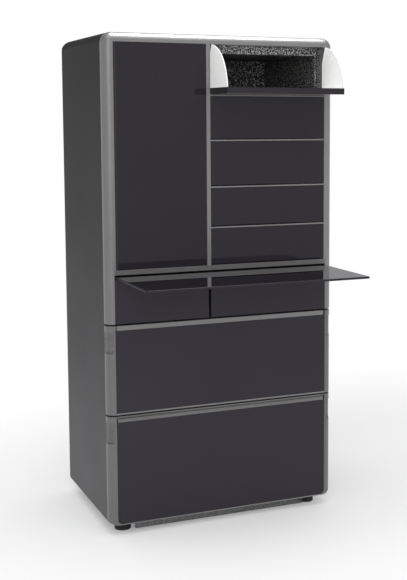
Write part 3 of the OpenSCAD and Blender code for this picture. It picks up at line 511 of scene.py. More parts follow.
# The shelf's ground edge, matt and dark
groundEdge = backPaintedGlass("groundEdge", {
    "base": "#2d2a31", "dark": "#28252c", "cloudMm": 60, "dustMm": 3, "waveMm": 120, "wave": 0.01,
    "rough": 0.5, "level": 0.12, "coat": 0.0})

# ABS behind the glass of the doors and flaps, moulded dark with a fine grain
darkAbs = plasticGrain("darkAbs", {
    "base": "#1f1f21", "dark": "#19191b", "light": "#262628", "grainMm": 1.0, "flowMm": 60,
    "speckMm": 1.5, "speck": 0.4, "rough": 0.5, "bump": 0.25, "ior": 1.53})

# White ABS of the cheeks and trays: matt, with a faint speckle of pigment drawn coarse enough to show
whiteAbs = plasticGrain("whiteAbs", {
    "base": "#f6f6f5", "dark": "#eaeae9", "light": "#fdfdfc", "grainMm": 1.2, "flowMm": 25,
    "speckMm": 3.0, "speck": 0.75, "rough": 0.48, "bump": 0.15, "ior": 1.53})

# White HIPS drawn over a mould for the compartments: soft gloss
linerHips = plasticGrain("linerHips", {
    "base": "#dfe0e0", "dark": "#d6d7d8", "light": "#e8e9e9", "grainMm": 2.0, "flowMm": 180,
    "speckMm": 3.0, "speck": 0.2, "rough": 0.34, "bump": 0.06, "ior": 1.55})

# Grey HIPS of the small drawer compartment
greyHips = plasticGrain("greyHips", {
    "base": "#b9bbbc", "dark": "#b0b2b3", "light": "#c4c6c7", "grainMm": 2.0, "flowMm": 160,
    "speckMm": 3.0, "speck": 0.2, "rough": 0.36, "bump": 0.06, "ior": 1.55})

# Clear polystyrene of the racks and baskets, a little frosted
frostedStyrene = plasticGrain("frostedStyrene", {
    "base": "#d7dee0", "dark": "#cdd5d8", "light": "#e3e9ea", "grainMm": 1.5, "flowMm": 120,
    "speckMm": 3.0, "speck": 0.1, "rough": 0.22, "bump": 0.05, "ior": 1.59, "clear": 0.45})

# Soft PVC of the gaskets: grey and matt
gasketPvc = plasticGrain("gasketPvc", {
    "base": "#8b8d8f", "dark": "#838587", "light": "#939597", "grainMm": 0.8, "flowMm": 30,
    "speckMm": 1.5, "speck": 0.3, "rough": 0.6, "bump": 0.2, "ior": 1.53})

# Moulded rubber of the feet: black, with a bloom that lightens it
footRubber = plasticGrain("footRubber", {
    "base": "#1e1f20", "dark": "#161718", "light": "#2a2b2c", "grainMm": 0.9, "flowMm": 14,
    "speckMm": 1.4, "speck": 0.5, "rough": 0.66, "bump": 0.3, "ior": 1.52})

# Glass-filled polypropylene of the kick plate, rough from its fibres, which are drawn coarse; its grey is
# darkened as painted shade, like the floor in the shadow under the cabinet
kickShadePlastic = plasticGrain("kickShadePlastic", {
    "base": "#525354", "dark": "#363738", "light": "#777879", "grainMm": 1.5, "flowMm": 20,
    "speckMm": 5.0, "speck": 0.9, "rough": 0.6, "bump": 0.3, "ior": 1.49})

# Fan blades and housings in black polyamide
fanPolyamide = plasticGrain("fanPolyamide", {
    "base": "#2c2e31", "dark": "#242629", "light": "#36383b", "grainMm": 0.9, "flowMm": 25,
    "speckMm": 1.5, "speck": 0.4, "rough": 0.45, "bump": 0.2, "ior": 1.53})

# Enamel on the compressor: thick, glossy, with runs
compressorEnamel = flakePaint("compressorEnamel", {
    "base": "#1c1d1f", "dark": "#151618", "light": "#232427", "driftLow": "#dddddd",
    "flakeMm": 3.0, "driftMm": 60, "peelMm": 4.0, "peel": 0.35,
    "metal": 0.0, "rough": 0.28, "coat": 0.2, "coatRough": 0.15})

# Zinc-plated steel of slides, guides and pins: cold and bright
zincSteel = metalSheet("zincSteel", {
    "base": "#a9abae", "dark": "#96989b", "light": "#bcbec1", "stretch": (1.0, 0.06, 1.0), "lineMm": 1.2,
    "flowerMm": 8, "flower": 0.25, "rough": 0.36, "bump": 0.15})

# Hot-dip galvanised sheet behind: zinc flowers the size of a thumbnail
galvanisedSheet = metalSheet("galvanisedSheet", {
    "base": "#8d9092", "dark": "#84878a", "light": "#989b9e", "stretch": (1.0, 1.0, 0.4), "lineMm": 3.0,
    "flowerMm": 16, "flower": 0.7, "rough": 0.5, "bump": 0.08})

# Face plate of painted steel behind the fronts, black in the gaps; the same near black is painted as shade on
# the ends, walls and notches of other pieces
faceAndShadePaint = flakePaint("faceAndShadePaint", {
    "base": "#17181a", "dark": "#121315", "light": "#1e1f21", "driftLow": "#eeeeee",
    "flakeMm": 1.8, "driftMm": 200, "peelMm": 2.5, "peel": 0.12,
    "metal": 0.0, "rough": 0.55, "coat": 0.0, "coatRough": 0.3})

# Drawn copper of the condenser coil, dulled by handling
drawnCopper = metalSheet("drawnCopper", {
    "base": "#b5704c", "dark": "#8c5238", "light": "#cf8c66", "stretch": (0.1, 1.0, 1.0), "lineMm": 1.5,
    "flowerMm": 30, "flower": 0.35, "rough": 0.34, "bump": 0.1})

# Rolled aluminium fins of the evaporator
rolledAluminium = metalSheet("rolledAluminium", {
    "base": "#b7babd", "dark": "#a5a8ab", "light": "#c9cccf", "stretch": (1.0, 1.0, 0.08), "lineMm": 1.0,
    "flowerMm": 20, "flower": 0.2, "rough": 0.38, "bump": 0.12})


def columnPlastic(look):  # the column lining: grey at the front, in shade further in, and grainy
    material, tree, place = newMaterial("columnPlastic")
    axes = addNode(tree, "ShaderNodeSeparateXYZ", links={"Vector": place})
    inward = addNode(tree, "ShaderNodeMapRange",
                     {"From Min": look["greyTo"], "From Max": look["greyTo"] + look["fade"]},
                     {"Value": axes.outputs["Y"]})
    grain = addNode(tree, "ShaderNodeTexNoise",
                    {"Scale": 1000 / look["grainMm"], "Detail": 0.6, "Roughness": 0.9}, {"Vector": place})
    grey = addNode(tree, "ShaderNodeValToRGB",
                   {"stops": [(0.45, look["greyDark"]), (0.51, look["grey"]), (0.58, look["greyLight"])]},
                   {"Fac": grain.outputs["Fac"]})
    black = addNode(tree, "ShaderNodeValToRGB",
                    {"stops": [(0.52, look["black"]), (0.57, look["blackMid"]), (0.63, look["blackLight"])]},
                    {"Fac": grain.outputs["Fac"]})
    colour = addNode(tree, "ShaderNodeMix", {"data_type": "RGBA"},
                     {"Factor": inward.outputs["Result"],
                      "A": grey.outputs["Color"], "B": black.outputs["Color"]})
    bump = addNode(tree, "ShaderNodeBump", {"Strength": 0.3, "Distance": 0.2 * mm},
                   {"Height": grain.outputs["Fac"]})
    shader = addNode(tree, "ShaderNodeBsdfPrincipled", {"Roughness": 0.62, "IOR": 1.55},
                     {"Base Color": colour.outputs["Result"], "Normal": bump.outputs["Normal"]})
    addNode(tree, "ShaderNodeOutputMaterial", links={"Surface": shader.outputs["BSDF"]})
    return material


# Column lining of HIPS, its grain drawn coarse enough to show: a light flange at the mouth, and
# near black further in as painted shade inside the bin
columnHips = columnPlastic({
    "greyTo": frontY + 62 * mm, "fade": 6 * mm, "grainMm": 5.0,
    "grey": "#262728", "greyDark": "#0a0a0b", "greyLight": "#b8b9ba",
    "black": "#020202", "blackMid": "#0c0c0c", "blackLight": "#c6c6c4"})


def foamMaterial(look):  # blown foam: open cells, cream
    material, tree, place = newMaterial("polyurethaneFoam")
    cells = addNode(tree, "ShaderNodeTexVoronoi", {"Scale": 1000 / look["cellMm"], "feature": "F1"},
                    {"Vector": place})
    tone = addNode(tree, "ShaderNodeValToRGB", {"stops": [(0.0, look["light"]), (0.6, look["base"])]},
                   {"Fac": cells.outputs["Distance"]})
    bump = addNode(tree, "ShaderNodeBump", {"Strength": 0.5, "Distance": 0.4 * mm},
                   {"Height": cells.outputs["Distance"]})
    shader = addNode(tree, "ShaderNodeBsdfPrincipled", {"Roughness": 0.9, "IOR": 1.5},
                     {"Base Color": tone.outputs["Color"], "Normal": bump.outputs["Normal"]})
    addNode(tree, "ShaderNodeOutputMaterial", links={"Surface": shader.outputs["BSDF"]})
    return material


polyurethaneFoam = foamMaterial({"cellMm": 3.0, "base": "#dfd3a2", "light": "#efe6c0"})


def clearGlass(look):  # float glass of the inner shelves, with a green cast
    material, tree, place = newMaterial("floatGlass")
    smear = addNode(tree, "ShaderNodeTexNoise", {"Scale": 1000 / look["smearMm"], "Detail": 2.0},
                    {"Vector": place})
    tone = addNode(tree, "ShaderNodeValToRGB", {"stops": [(0.3, look["tint"]), (0.7, look["tintLight"])]},
                   {"Fac": smear.outputs["Fac"]})
    rough = addNode(tree, "ShaderNodeMapRange", {"To Min": 0.01, "To Max": 0.06},
                    {"Value": smear.outputs["Fac"]})
    shader = addNode(tree, "ShaderNodeBsdfPrincipled", {"IOR": 1.5, "Transmission Weight": look["clear"]},
                     {"Base Color": tone.outputs["Color"], "Roughness": rough.outputs["Result"]})
    addNode(tree, "ShaderNodeOutputMaterial", links={"Surface": shader.outputs["BSDF"]})
    return material


floatGlass = clearGlass({"smearMm": 90, "tint": "#cfe3dc", "tintLight": "#dcebe6", "clear": 0.85})


def lampMaterial(look):  # opal cover over the lamps: an even milky glow
    material, tree, place = newMaterial("opalPolycarbonate")
    cloud = addNode(tree, "ShaderNodeTexNoise", {"Scale": 1000 / look["cloudMm"], "Detail": 1.0},
                    {"Vector": place})
    tone = addNode(tree, "ShaderNodeValToRGB", {"stops": [(0.3, look["base"]), (0.7, look["light"])]},
                   {"Fac": cloud.outputs["Fac"]})
    shader = addNode(tree, "ShaderNodeBsdfPrincipled",
                     {"Roughness": 0.35, "IOR": 1.58, "Emission Color": toLinear(look["light"]),
                      "Emission Strength": look["glow"]},
                     {"Base Color": tone.outputs["Color"]})
    addNode(tree, "ShaderNodeOutputMaterial", links={"Surface": shader.outputs["BSDF"]})
    return material


opalPolycarbonate = lampMaterial({"cloudMm": 25, "base": "#f0ede2", "light": "#fbf8ee", "glow": 0.25})
print("finishes ready")


# Finishes of the CAD nodes that stay in sight

nodeFinishes = [
    (sideEnamel, ["cabinet_shell"]),
    (faceAndShadePaint, ["face_plate", "compressor_cover"]),
    (galvanisedSheet, ["base_tray"]),
    (polyurethaneFoam, ["insulation"]),
    (linerHips, ["door_liner", "vegetable_liner", "freezer_liner", "evaporator_cover",
                 "evaporator_fan_housing"]),
    (columnHips, ["column_liner"]),
    (greyHips, ["small_drawer_liner"]),
    (zincSteel, ["door_hinge_pins", "counter_guides", "counter_carriage", "outer_slides",
                 "vegetable_carrier", "vegetable_middle_slides", "freezer_carrier", "freezer_middle_slides"]),
    (compressorEnamel, ["compressor"]),
    (drawnCopper, ["condenser"]),
    (rolledAluminium, ["evaporator"]),
    (fanPolyamide, ["condenser_fan_housing", "evaporator_fan", "condenser_fan"])]
for finish, nodeNames in nodeFinishes:
    for nodeName in nodeNames:
        nodes[nodeName].data.materials.clear()
        nodes[nodeName].data.materials.append(finish)


# Front frame: the brow, the posts and the bars round the openings

frontSet = {
    "sideRadius": 30 * mm, "browRadius": 28 * mm, "cornerRadius": 36 * mm, "edge": 0.9 * mm, "gap": 0.8 * mm,
    "slotDrop": 3 * mm, "margin": 5 * mm, "sideSteps": 12, "browSteps": 6, "cornerSteps": 8,
    "browEase": 0.5, "lowEase": 0.4}  # how much the corners tighten as the face rounds back


def quarterInset(depth, radius):  # how far a rounded edge stands back at a depth
    return radius - math.sqrt(max(0.0, radius ** 2 - (radius - depth) ** 2)) if depth < radius else 0.0


def frontSolid(name, z0, z1, depth, brow, lowRadius=0.0):  # a slice of the rounded front
    look = frontSet
    stations = {depth}
    for radius, steps in ((look["sideRadius"], look["sideSteps"]), (look["browRadius"], look["browSteps"])):
        places = [radius * (1 - math.cos(math.radians(90 * i / steps))) for i in range(steps + 1)]
        stations |= {round(y, 6) for y in places if y < depth - keen}
    rings = []
    for y in sorted(stations):
        side = quarterInset(y, look["sideRadius"])
        top = quarterInset(y, look["browRadius"]) if brow else 0.0
        corner = look["cornerRadius"] - look["browEase"] * (side + top) if brow else 0.0
        low = max(lowRadius - side * look["lowEase"], 0.0)
        ring = roundedRing((left + side, z0), (right - side, z1 - top), [low, low, corner, corner],
                           look["cornerSteps"])
        rings.append([Vector((u, frontY + y, v)) for u, v in ring])
    return skin(name, rings, framePaint)


def slab(low, high):  # a plain cutter
    return block("cutter", low, high, framePaint, "Y", keen, keen, 1)


gap = frontSet["gap"]  # between the fronts and the frame
doorLow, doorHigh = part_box("door_glass")
doorPin = jointPlace("door")
hingeRadius = 8 * mm  # of the door's hinge edge about its pin
doorLeft = doorPin.x - hingeRadius
trayLow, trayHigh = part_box("flap_2_tray")
columnLow, columnHigh = trayLow.x - gap, trayHigh.x + gap
bayLow, bayHigh = doorLow.z - gap, doorHigh.z + gap
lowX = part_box("vegetable_glass")[1].x  # half the width of the large drawers' glass
frameLow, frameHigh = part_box("front_frame")
ahead, behind = frontY - frontSet["margin"], frameHigh.y + frontSet["margin"]


def buildFrontFrame():
    look = frontSet
    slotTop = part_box("small_drawer_liner")[1].z - look["slotDrop"]
    piece = frontSolid("frontFrame", frameLow.z, frameHigh.z, frameHigh.y - frontY, True)
    carve(piece, [
        slab((doorLeft - gap, ahead, bayLow), (doorHigh.x + gap, behind, bayHigh)),
        slab((columnLow, ahead, bayLow), (columnHigh, behind, bayHigh)),
        slab((-lowX, ahead, frameLow.z - look["margin"]), (lowX, behind, slotTop))])
    soften(piece, look["edge"])
    split(piece, [((-lowX, 0, 0), (1, 0, 0)), ((lowX, 0, 0), (1, 0, 0)),
                  ((0, 0, bayLow - look["edge"]), (0, 0, 1))])
    # the bar under the openings takes the darker bar paint, lighter towards the right as painted light
    recolour(piece, shadedBarPaint, [((-lowX - 1 * mm, frontY - 1 * mm, slotTop - 2 * mm),
                                (lowX + 1 * mm, behind, bayLow + 1 * mm))])
    finished(piece, "cabinet", ["front_frame"])


buildFrontFrame()
print("front frame ready")


# Drawer fronts: the rounded ends, the bed for the glass, the grip strip and the finger recesses

drawerSet = {
    "depth": 33 * mm, "edge": 0.7 * mm, "lowCorner": 20 * mm,
    "glassCorner": 15 * mm, "glassGap": 0.25 * mm, "glassEdge": 0.5 * mm,
    "notch": 6 * mm, "notchDepth": 6 * mm, "slantNotch": 4.5 * mm, "slantNotchDepth": 7 * mm,
    "recessDrop": 22 * mm, "recessHeight": 76 * mm, "recessDepth": 1.6 * mm, "recessStart": 6.5 * mm,
    "pitDepth": 4 * mm, "pitHeight": 8 * mm, "pitRise": 1 * mm, "pitStart": 12 * mm, "pitEnd": 3 * mm,
    "slantDepth": 4 * mm, "slantHeight": 11 * mm, "grooveDepth": 8 * mm, "lip": 2 * mm,
    "plugSide": 31.5 * mm, "plugDepth": 32.5 * mm, "plugRise": 30 * mm, "plugEdge": 3 * mm,
    "plugCorner": 12 * mm, "cutReach": 46 * mm, "cutMargin": 4 * mm, "cutSteps": 12}


def recessCutter(side, z0, z1, depth, first, last):  # what a finger recess takes off a rounded front corner
    look = drawerSet
    margin, steps = look["cutMargin"], look["cutSteps"]
    radius = frontSet["sideRadius"] - depth
    centreX, centreY = right - frontSet["sideRadius"], frontY + frontSet["sideRadius"]
    start = math.acos((lowX + first - centreX) / radius)
    end = math.acos(min(1.0, (right - last - centreX) / radius))
    outline = []
    for i in range(steps + 1):
        t = start + (end - start) * i / steps
        outline.append((centreX + radius * math.cos(t), centreY - radius * math.sin(t)))
    outline += [(centreX + look["cutReach"] * math.cos(end), centreY - look["cutReach"] * math.sin(end)),
                (right + margin, frontY - margin), (lowX + first, frontY - margin)]
    return prism("cutter", [(x * side, y) for x, y in outline], "Z", z0, z1, framePaint, 0)


def notchCutter(side, width, depth, low, top):  # a step at one end of the strip over the glass
    inner, outer = sorted((side * (lowX - width), side * lowX))
    return slab((inner, ahead, low - 1 * mm), (outer, frontY + depth, top))


def recessHeights(high):  # the low and high end of the finger recesses
    top = high.z - drawerSet["recessDrop"]
    return top - drawerSet["recessHeight"], top


def drawerCutters(drawer, lowest):  # for the bed, the finger recesses, the notches and the grip strip
    look = drawerSet
    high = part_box(drawer + "_front")[1]
    glassLow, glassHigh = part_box(drawer + "_glass")
    bedLow, bedHigh = (-lowX, ahead, glassLow.z), (lowX, glassHigh.y, glassHigh.z)
    if lowest:
        corners = [look["glassCorner"], look["glassCorner"], 0, 0]
        cutters = [block("cutter", bedLow, bedHigh, framePaint, "Y", keen, corners, 6)]
    else:
        cutters = [slab(bedLow, bedHigh)]
    recessLow, recessTop = recessHeights(high)
    for side in (-1, 1):
        cutters.append(recessCutter(side, recessLow, recessTop, look["recessDepth"], look["recessStart"],
                                    look["recessDepth"]))
        cutters.append(recessCutter(side, recessLow + look["pitRise"], recessLow + look["pitHeight"],
                                    look["pitDepth"], look["pitStart"], look["pitEnd"] + look["pitDepth"]))
        if not lowest:
            top = high.z + frontSet["margin"]
            cutters.append(notchCutter(side, look["notch"], look["notchDepth"], glassHigh.z, top))
    if lowest:
        groove, lipLow = glassHigh.z + look["slantHeight"], high.z - look["lip"]
        outline = [(ahead, glassHigh.z - 0.1 * mm), (frontY, glassHigh.z),
                   (frontY + look["slantDepth"], groove), (frontY + look["grooveDepth"], groove),
                   (frontY + look["grooveDepth"], lipLow), (ahead, lipLow)]
        cutters.append(prism("cutter", outline, "X", -lowX, lowX, framePaint, 0))
        for side in (-1, 1):
            cutters.append(notchCutter(side, look["slantNotch"], look["slantNotchDepth"], glassHigh.z,
                                       lipLow))
    return cutters


def paintDrawer(front, drawer, lowest):  # the zones reach a little past the faces that they pick
    look = drawerSet
    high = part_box(drawer + "_front")[1]
    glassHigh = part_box(drawer + "_glass")[1]
    behindBed = glassHigh.y + 8 * mm
    radius = frontSet["sideRadius"]
    recessLow, recessTop = recessHeights(high)

    def onEnd(c):  # the rounded ends beside the glass
        return abs(c.x) > lowX + hair and c.z < high.z - 0.5 * mm

    def inRecess(c):
        away = math.hypot(abs(c.x) - right + radius, c.y - frontY - radius)
        return (abs(c.x) > lowX + 2 * mm and recessLow - 1 * mm < c.z < recessTop + 1 * mm
                and away < radius - 0.5 * look["recessDepth"])

    def onRightWall(c):  # of the bed, in the shade of the glass
        return abs(c.x - lowX) < hair and c.y > frontY + hair

    recolour(front, endPaint, [onEnd])
    # painted shade in the finger recesses
    recolour(front, recessShadePaint, [inRecess])
    # painted shade in the groove behind the slanted strip
    if lowest:
        groove, lipLow = glassHigh.z + look["slantHeight"], high.z - look["lip"]
        recolour(front, shadedBarPaint, [((-lowX, frontY + look["slantDepth"] + 0.5 * mm, groove - hair),
                                    (lowX, behindBed, lipLow + hair))])
    notch, sides = (look["slantNotch"], (-1, 1)) if lowest else (look["notch"], (1,))
    # painted shade: the bed's wall beside the glass and the notches go near black
    shades = [onRightWall]
    for side in sides:  # the notches lie in shade too
        middle, half = side * (lowX - notch / 2), notch / 2 + 0.4 * mm
        shades.append(((middle - half, frontY + 1 * mm, glassHigh.z - 1.5 * mm),
                       (middle + half, behindBed, high.z - 0.5 * mm)))
    recolour(front, faceAndShadePaint, shades)


def buildDrawer(drawer, lowest):  # the lowest one has round lower corners and a slanted grip strip
    look = drawerSet
    body = drawer + "_drawer"
    low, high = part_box(drawer + "_front")
    lowRadius = look["lowCorner"] if lowest else 0.0
    front = frontSolid(drawer + "Front", low.z, high.z, look["depth"], False, lowRadius)
    carve(front, drawerCutters(drawer, lowest))
    soften(front, look["edge"])
    paintDrawer(front, drawer, lowest)
    plugLow = Vector((-lowX + look["plugSide"], frontY + look["plugDepth"], low.z + look["plugRise"]))
    plugHigh = Vector((lowX - look["plugSide"], high.y, high.z - look["plugRise"]))
    plug = block(drawer + "Plug", plugLow, plugHigh, linerHips, "Y", look["plugEdge"], look["plugCorner"])
    finished(together(drawer + "Front", [front, plug]), body, [drawer + "_front"])
    low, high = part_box(drawer + "_glass")
    inset = Vector((look["glassGap"], 0, look["glassGap"]))
    corners = [look["glassCorner"], look["glassCorner"], hair, hair] if lowest else hair
    glass = block(drawer + "Glass", low + inset, high - inset, litDrawerGlass, "Y", look["glassEdge"],
                  corners, 4)
    finished(glass, body, [drawer + "_glass"])


buildDrawer("vegetable", False)
buildDrawer("freezer", True)
print("drawer fronts ready")


# Small drawers: a glass sheet on a moulded front, and a tray

smallSet = {
    "sheet": 4 * mm, "glassEdge": 0.5 * mm, "glassCorner": 0.6 * mm, "inset": 0.4 * mm, "edge": 0.8 * mm,
    "corner": 1.5 * mm, "trayWall": 3 * mm, "trayCorner": 6 * mm}


def buildSmallDrawer(side):
    look = smallSet
    low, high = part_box(f"small_{side}_front")
    sheetBack = low.y + look["sheet"]
    sheet = block(f"smallGlass_{side}", low, (high.x, sheetBack, high.z), litDrawerGlass, "Y",
                  look["glassEdge"], look["glassCorner"])
    panel = block(f"smallPanel_{side}", (low.x + look["inset"], sheetBack, low.z + look["inset"]),
                  (high.x - look["inset"], high.y, high.z - look["inset"]), darkAbs, "Y",
                  look["edge"], look["corner"])
    front = together(f"smallFront_{side}", [sheet, panel])
    finished(front, f"small_drawer_{side}", [f"small_{side}_front"])
    low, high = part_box(f"small_{side}_tray")
    tray = cup(f"smallTray_{side}", low, high, look["trayWall"], look["trayCorner"], whiteAbs)
    finished(tray, f"small_drawer_{side}", [f"small_{side}_tray"])


for side in ("left", "right"):
    buildSmallDrawer(side)
print("small drawers ready")


# Door: the glass wraps its hinge edge, the moulded panel behind clears the frame as it swings

doorSet = {
    "glass": 4 * mm, "glassEdge": 0.5 * mm, "panelGap": 0.2 * mm, "sweep": 331.4 * mm, "edge": 0.6 * mm,
    "seal": 12 * mm, "sealCorner": 3 * mm, "sealEdge": 2.2 * mm,
    "glassSteps": 5, "panelSteps": 4, "sweepSteps": 8}


def aboutPin(turn):  # a point of the door's hinge edge, in (X, Y)
    return doorPin.x - hingeRadius * math.sin(turn), doorPin.y - hingeRadius * math.cos(turn)


def buildDoor():
    look = doorSet
    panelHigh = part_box("door_panel")[1]
    glassBack = frontY + look["glass"]
    turn = math.acos((hingeRadius - look["glass"]) / hingeRadius)
    steps = look["glassSteps"]
    outline = [aboutPin(turn * (1 - i / steps)) for i in range(steps + 1)]
    outline += [(doorHigh.x, frontY), (doorHigh.x, glassBack)]
    glass = prism("doorGlass", outline, "Z", doorLow.z, doorHigh.z, darkGlass, look["glassEdge"])
    # painted shade: the glass faces behind the front, round the hinge edge, go near black
    recolour(glass, faceAndShadePaint, [lambda c: c.x < doorPin.x - 2 * mm and c.y > frontY + 0.15 * mm])
    finished(glass, "door", ["door_glass"])
    inset = look["panelGap"]
    steps = look["panelSteps"]
    outline = [aboutPin(turn + (math.pi / 2 - turn) * i / steps) for i in range(steps, -1, -1)]
    outline.append((doorHigh.x - inset, glassBack + inset / 2))
    reach = panelHigh.y - doorPin.y
    steps = look["sweepSteps"]
    for i in range(steps + 1):  # the free edge, an arc about the pin
        y = reach * i / steps
        outline.append((doorPin.x + math.sqrt(look["sweep"] ** 2 - y ** 2), doorPin.y + y))
    outline.append((doorLeft, panelHigh.y))
    panel = prism("doorPanel", outline, "Z", doorLow.z + inset, doorHigh.z - inset, darkAbs, look["edge"])
    finished(panel, "door", ["door_panel"])
    low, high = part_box("door_gasket")
    seal = hoop("doorGasket", low, high, "Y", look["seal"], gasketPvc, look["sealCorner"], look["sealEdge"])
    finished(seal, "door", ["door_gasket"])


buildDoor()
print("door ready")


# Flaps: a glass front on two pins, with its lining and quarter-round cheeks

flapSet = {
    "radius": 6.5 * mm, "thick": 22 * mm, "topGap": 1.3 * mm, "glassEdge": 0.5 * mm,
    "pin": 3 * mm, "pinLength": 9 * mm, "pinEdge": 0.6 * mm,
    "cheek": 3 * mm, "cheekGap": 1 * mm, "cheekEdge": 0.6 * mm, "cheekLift": 0.2 * mm,
    "cut": 57 * mm, "cutShare": 0.6, "rise": 17 * mm, "rimWidth": 5 * mm, "sunk": 0.8 * mm,
    "bedEdge": 0.3 * mm, "rim": 6 * mm, "liningSide": 1.5 * mm, "liningSunk": 0.4 * mm,
    "liningRise": 0.1 * mm, "liningEdge": 0.2 * mm, "liningCorner": 3 * mm, "lowSteps": 6, "cheekSteps": 24}


def cheekOutline(pivot, radius, inset=0.0):  # in (Y, Z), with the flap shut
    look = flapSet
    lowZ = pivot.z - look["radius"] + look["cheekLift"] + inset
    reach = radius - inset
    first = math.asin((look["rise"] + inset) / reach)
    last = math.acos((look["thick"] - look["radius"] + inset) / reach)
    points = [(frontY + look["thick"] + inset, lowZ),
              (pivot.y + radius - look["cut"] - inset * look["cutShare"], lowZ)]
    for i in range(look["cheekSteps"] + 1):
        t = first + (last - first) * i / look["cheekSteps"]
        points.append((pivot.y + reach * math.cos(t), pivot.z + reach * math.sin(t)))
    return points


def buildFlap(k):
    look = flapSet
    body = f"flap_{k}"
    pivot = jointPlace(body)
    rowTop = bayHigh if k == 1 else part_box(f"flap_{k}_front")[1].z + look["topGap"]
    x0, x1 = columnLow + gap, columnHigh - gap
    z0, z1 = pivot.z - look["radius"], rowTop - look["topGap"]
    back = frontY + look["thick"]
    outline = []
    for i in range(look["lowSteps"] + 1):  # the lower edge is round about the pivot
        t = math.radians(90 * i / look["lowSteps"])
        outline.append((pivot.y - look["radius"] * math.sin(t), pivot.z - look["radius"] * math.cos(t)))
    outline += [(frontY, z1), (back, z1), (back, z0)]
    parts = [prism("front", outline, "X", x0, x1, flapGlass, look["glassEdge"])]
    for x, way in ((x0, -1), (x1, 1)):
        length, edge = look["pinLength"], look["pinEdge"]
        profile = [(look["pin"], 0), (look["pin"], way * (length - edge)), (look["pin"] - edge, way * length)]
        parts.append(lathe("pin", profile, (x, pivot.y, pivot.z), "X", zincSteel, 16))
    front = together(f"flapFront_{k}", parts)
    # painted shade: the flap's glass ends go near black
    sides = [((x - hair, frontY + 0.6 * mm, z0), (x + hair, back, z1)) for x in (x0, x1)]
    recolour(front, faceAndShadePaint, sides)

    parts = [block("lining", (x0 + look["liningSide"], back - look["liningSunk"], z0 + look["rim"]),
                   (x1 - look["liningSide"], back + look["liningRise"], z1 - look["rim"]), whiteAbs, "Y",
                   look["liningEdge"], look["liningCorner"])]
    radius = rowTop - pivot.z - look["cheekGap"]
    for x, inward in ((x0, 1), (x1, -1)):
        face = x + inward * look["cheek"]
        a, b = sorted((x, face))
        cheek = prism("cheek", cheekOutline(pivot, radius), "X", a, b, whiteAbs, look["cheekEdge"])
        a, b = sorted((face - inward * look["sunk"], face + inward * 2 * mm))
        bed = prism("cutter", cheekOutline(pivot, radius, look["rimWidth"]), "X", a, b, whiteAbs, 0)
        parts.append(soften(carve(cheek, [bed]), look["bedEdge"], 50))
    tray = together(f"flapTray_{k}", parts)
    if k == 1:  # the top flap hangs open at rest
        opened = Matrix.Rotation(math.radians(90), 4, "X")
        for piece in (front, tray):
            piece.data.transform(Matrix.Translation(pivot) @ opened @ Matrix.Translation(-pivot))
    finished(front, body, [f"flap_{k}_front"])
    finished(tray, body, [f"flap_{k}_tray"])


for k in range(1, 6):
    buildFlap(k)
print("flaps ready")


# Pull-out shelf: smoked glass, its edges ground round

counterSet = {"edge": 3.2 * mm, "frontCorner": 8 * mm, "backCorner": 3.4 * mm, "skin": 0.25 * mm}


def buildCounter():
    look = counterSet
    low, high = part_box("counter_glass")
    corners = [look["frontCorner"], look["frontCorner"], look["backCorner"], look["backCorner"]]
    piece = block("shelfGlass", low, high, shelfGlass, "Z", look["edge"], corners, 6)
    beyond = Vector((1, 1, 1))
    recolour(piece, groundEdge, [(low - beyond, (1, 1, high.z - look["skin"])),
                                 (low - beyond, (low.x + look["backCorner"], 1, 1))])
    finished(piece, "pull_out_shelf", ["counter_glass"])


buildCounter()
print("shelf ready")


# Boards between the bins: a painted front strip and a thin shelf behind it

boardSet = {
    "topGap": 7 * mm, "strip": 61 * mm, "stripEdge": 0.9 * mm, "overlap": 0.5 * mm, "side": 11 * mm,
    "edge": 0.3 * mm, "corner": 0.6 * mm, "beadSide": 14 * mm, "beadFrom": 70 * mm, "beadTo": 76 * mm,
    "beadSunk": 0.4 * mm, "beadRise": 0.6 * mm, "beadEdge": 0.2 * mm, "beadCorner": 0.3 * mm}


def buildBoard(k):  # under flap k
    look = boardSet
    low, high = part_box("bin_dividers")
    top = jointPlace(f"flap_{k}").z - look["topGap"]
    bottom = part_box(f"flap_{k + 1}_front")[1].z + flapSet["topGap"]
    strip = block("strip", (low.x, low.y, bottom), (high.x, low.y + look["strip"], top), framePaint, "Y",
                  look["stripEdge"], look["stripEdge"])
    board = block("board", (low.x + look["side"], low.y + look["strip"] - look["overlap"], bottom),
                  (high.x - look["side"], high.y, top), columnHips, "Y", look["edge"], look["corner"])
    bead = block("bead", (low.x + look["beadSide"], low.y + look["beadFrom"], top - look["beadSunk"]),
                 (high.x - look["beadSide"], low.y + look["beadTo"], top + look["beadRise"]), columnHips, "X",
                 look["beadEdge"], look["beadCorner"])
    piece = together(f"binBoard_{k}", [strip, board, bead])
    finished(piece, "cabinet", ["bin_dividers"] if k == 1 else ())


for k in range(1, 5):
    buildBoard(k)
print("boards ready")


# Kick plate: a frame of fine upright slats

kickSet = {
    "rim": 3 * mm, "corner": 1.5 * mm, "edge": 0.8 * mm, "pitch": 4.6 * mm, "slat": 3.2 * mm,
    "sideGap": 1.5 * mm, "endGap": 4 * mm, "inset": 0.6 * mm}


def buildKickPlate():
    look = kickSet
    low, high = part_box("kick_plate")
    rim = hoop("rim", low, high, "Y", look["rim"], kickShadePlastic, look["corner"], look["edge"])
    spans = []
    x = low.x + look["rim"] + look["sideGap"]
    while x < high.x - look["rim"] - look["slat"]:
        spans.append(((x, low.y + look["inset"], low.z + look["endGap"]),
                      (x + look["slat"], high.y - look["inset"], high.z - look["endGap"])))
        x += look["pitch"]
    piece = together("kickPlate", [rim, rods("slats", spans, kickShadePlastic)])
    finished(piece, "cabinet", ["kick_plate"])


buildKickPlate()


# Feet: a ribbed rubber pad, a hexagon to turn it by and the threaded stem

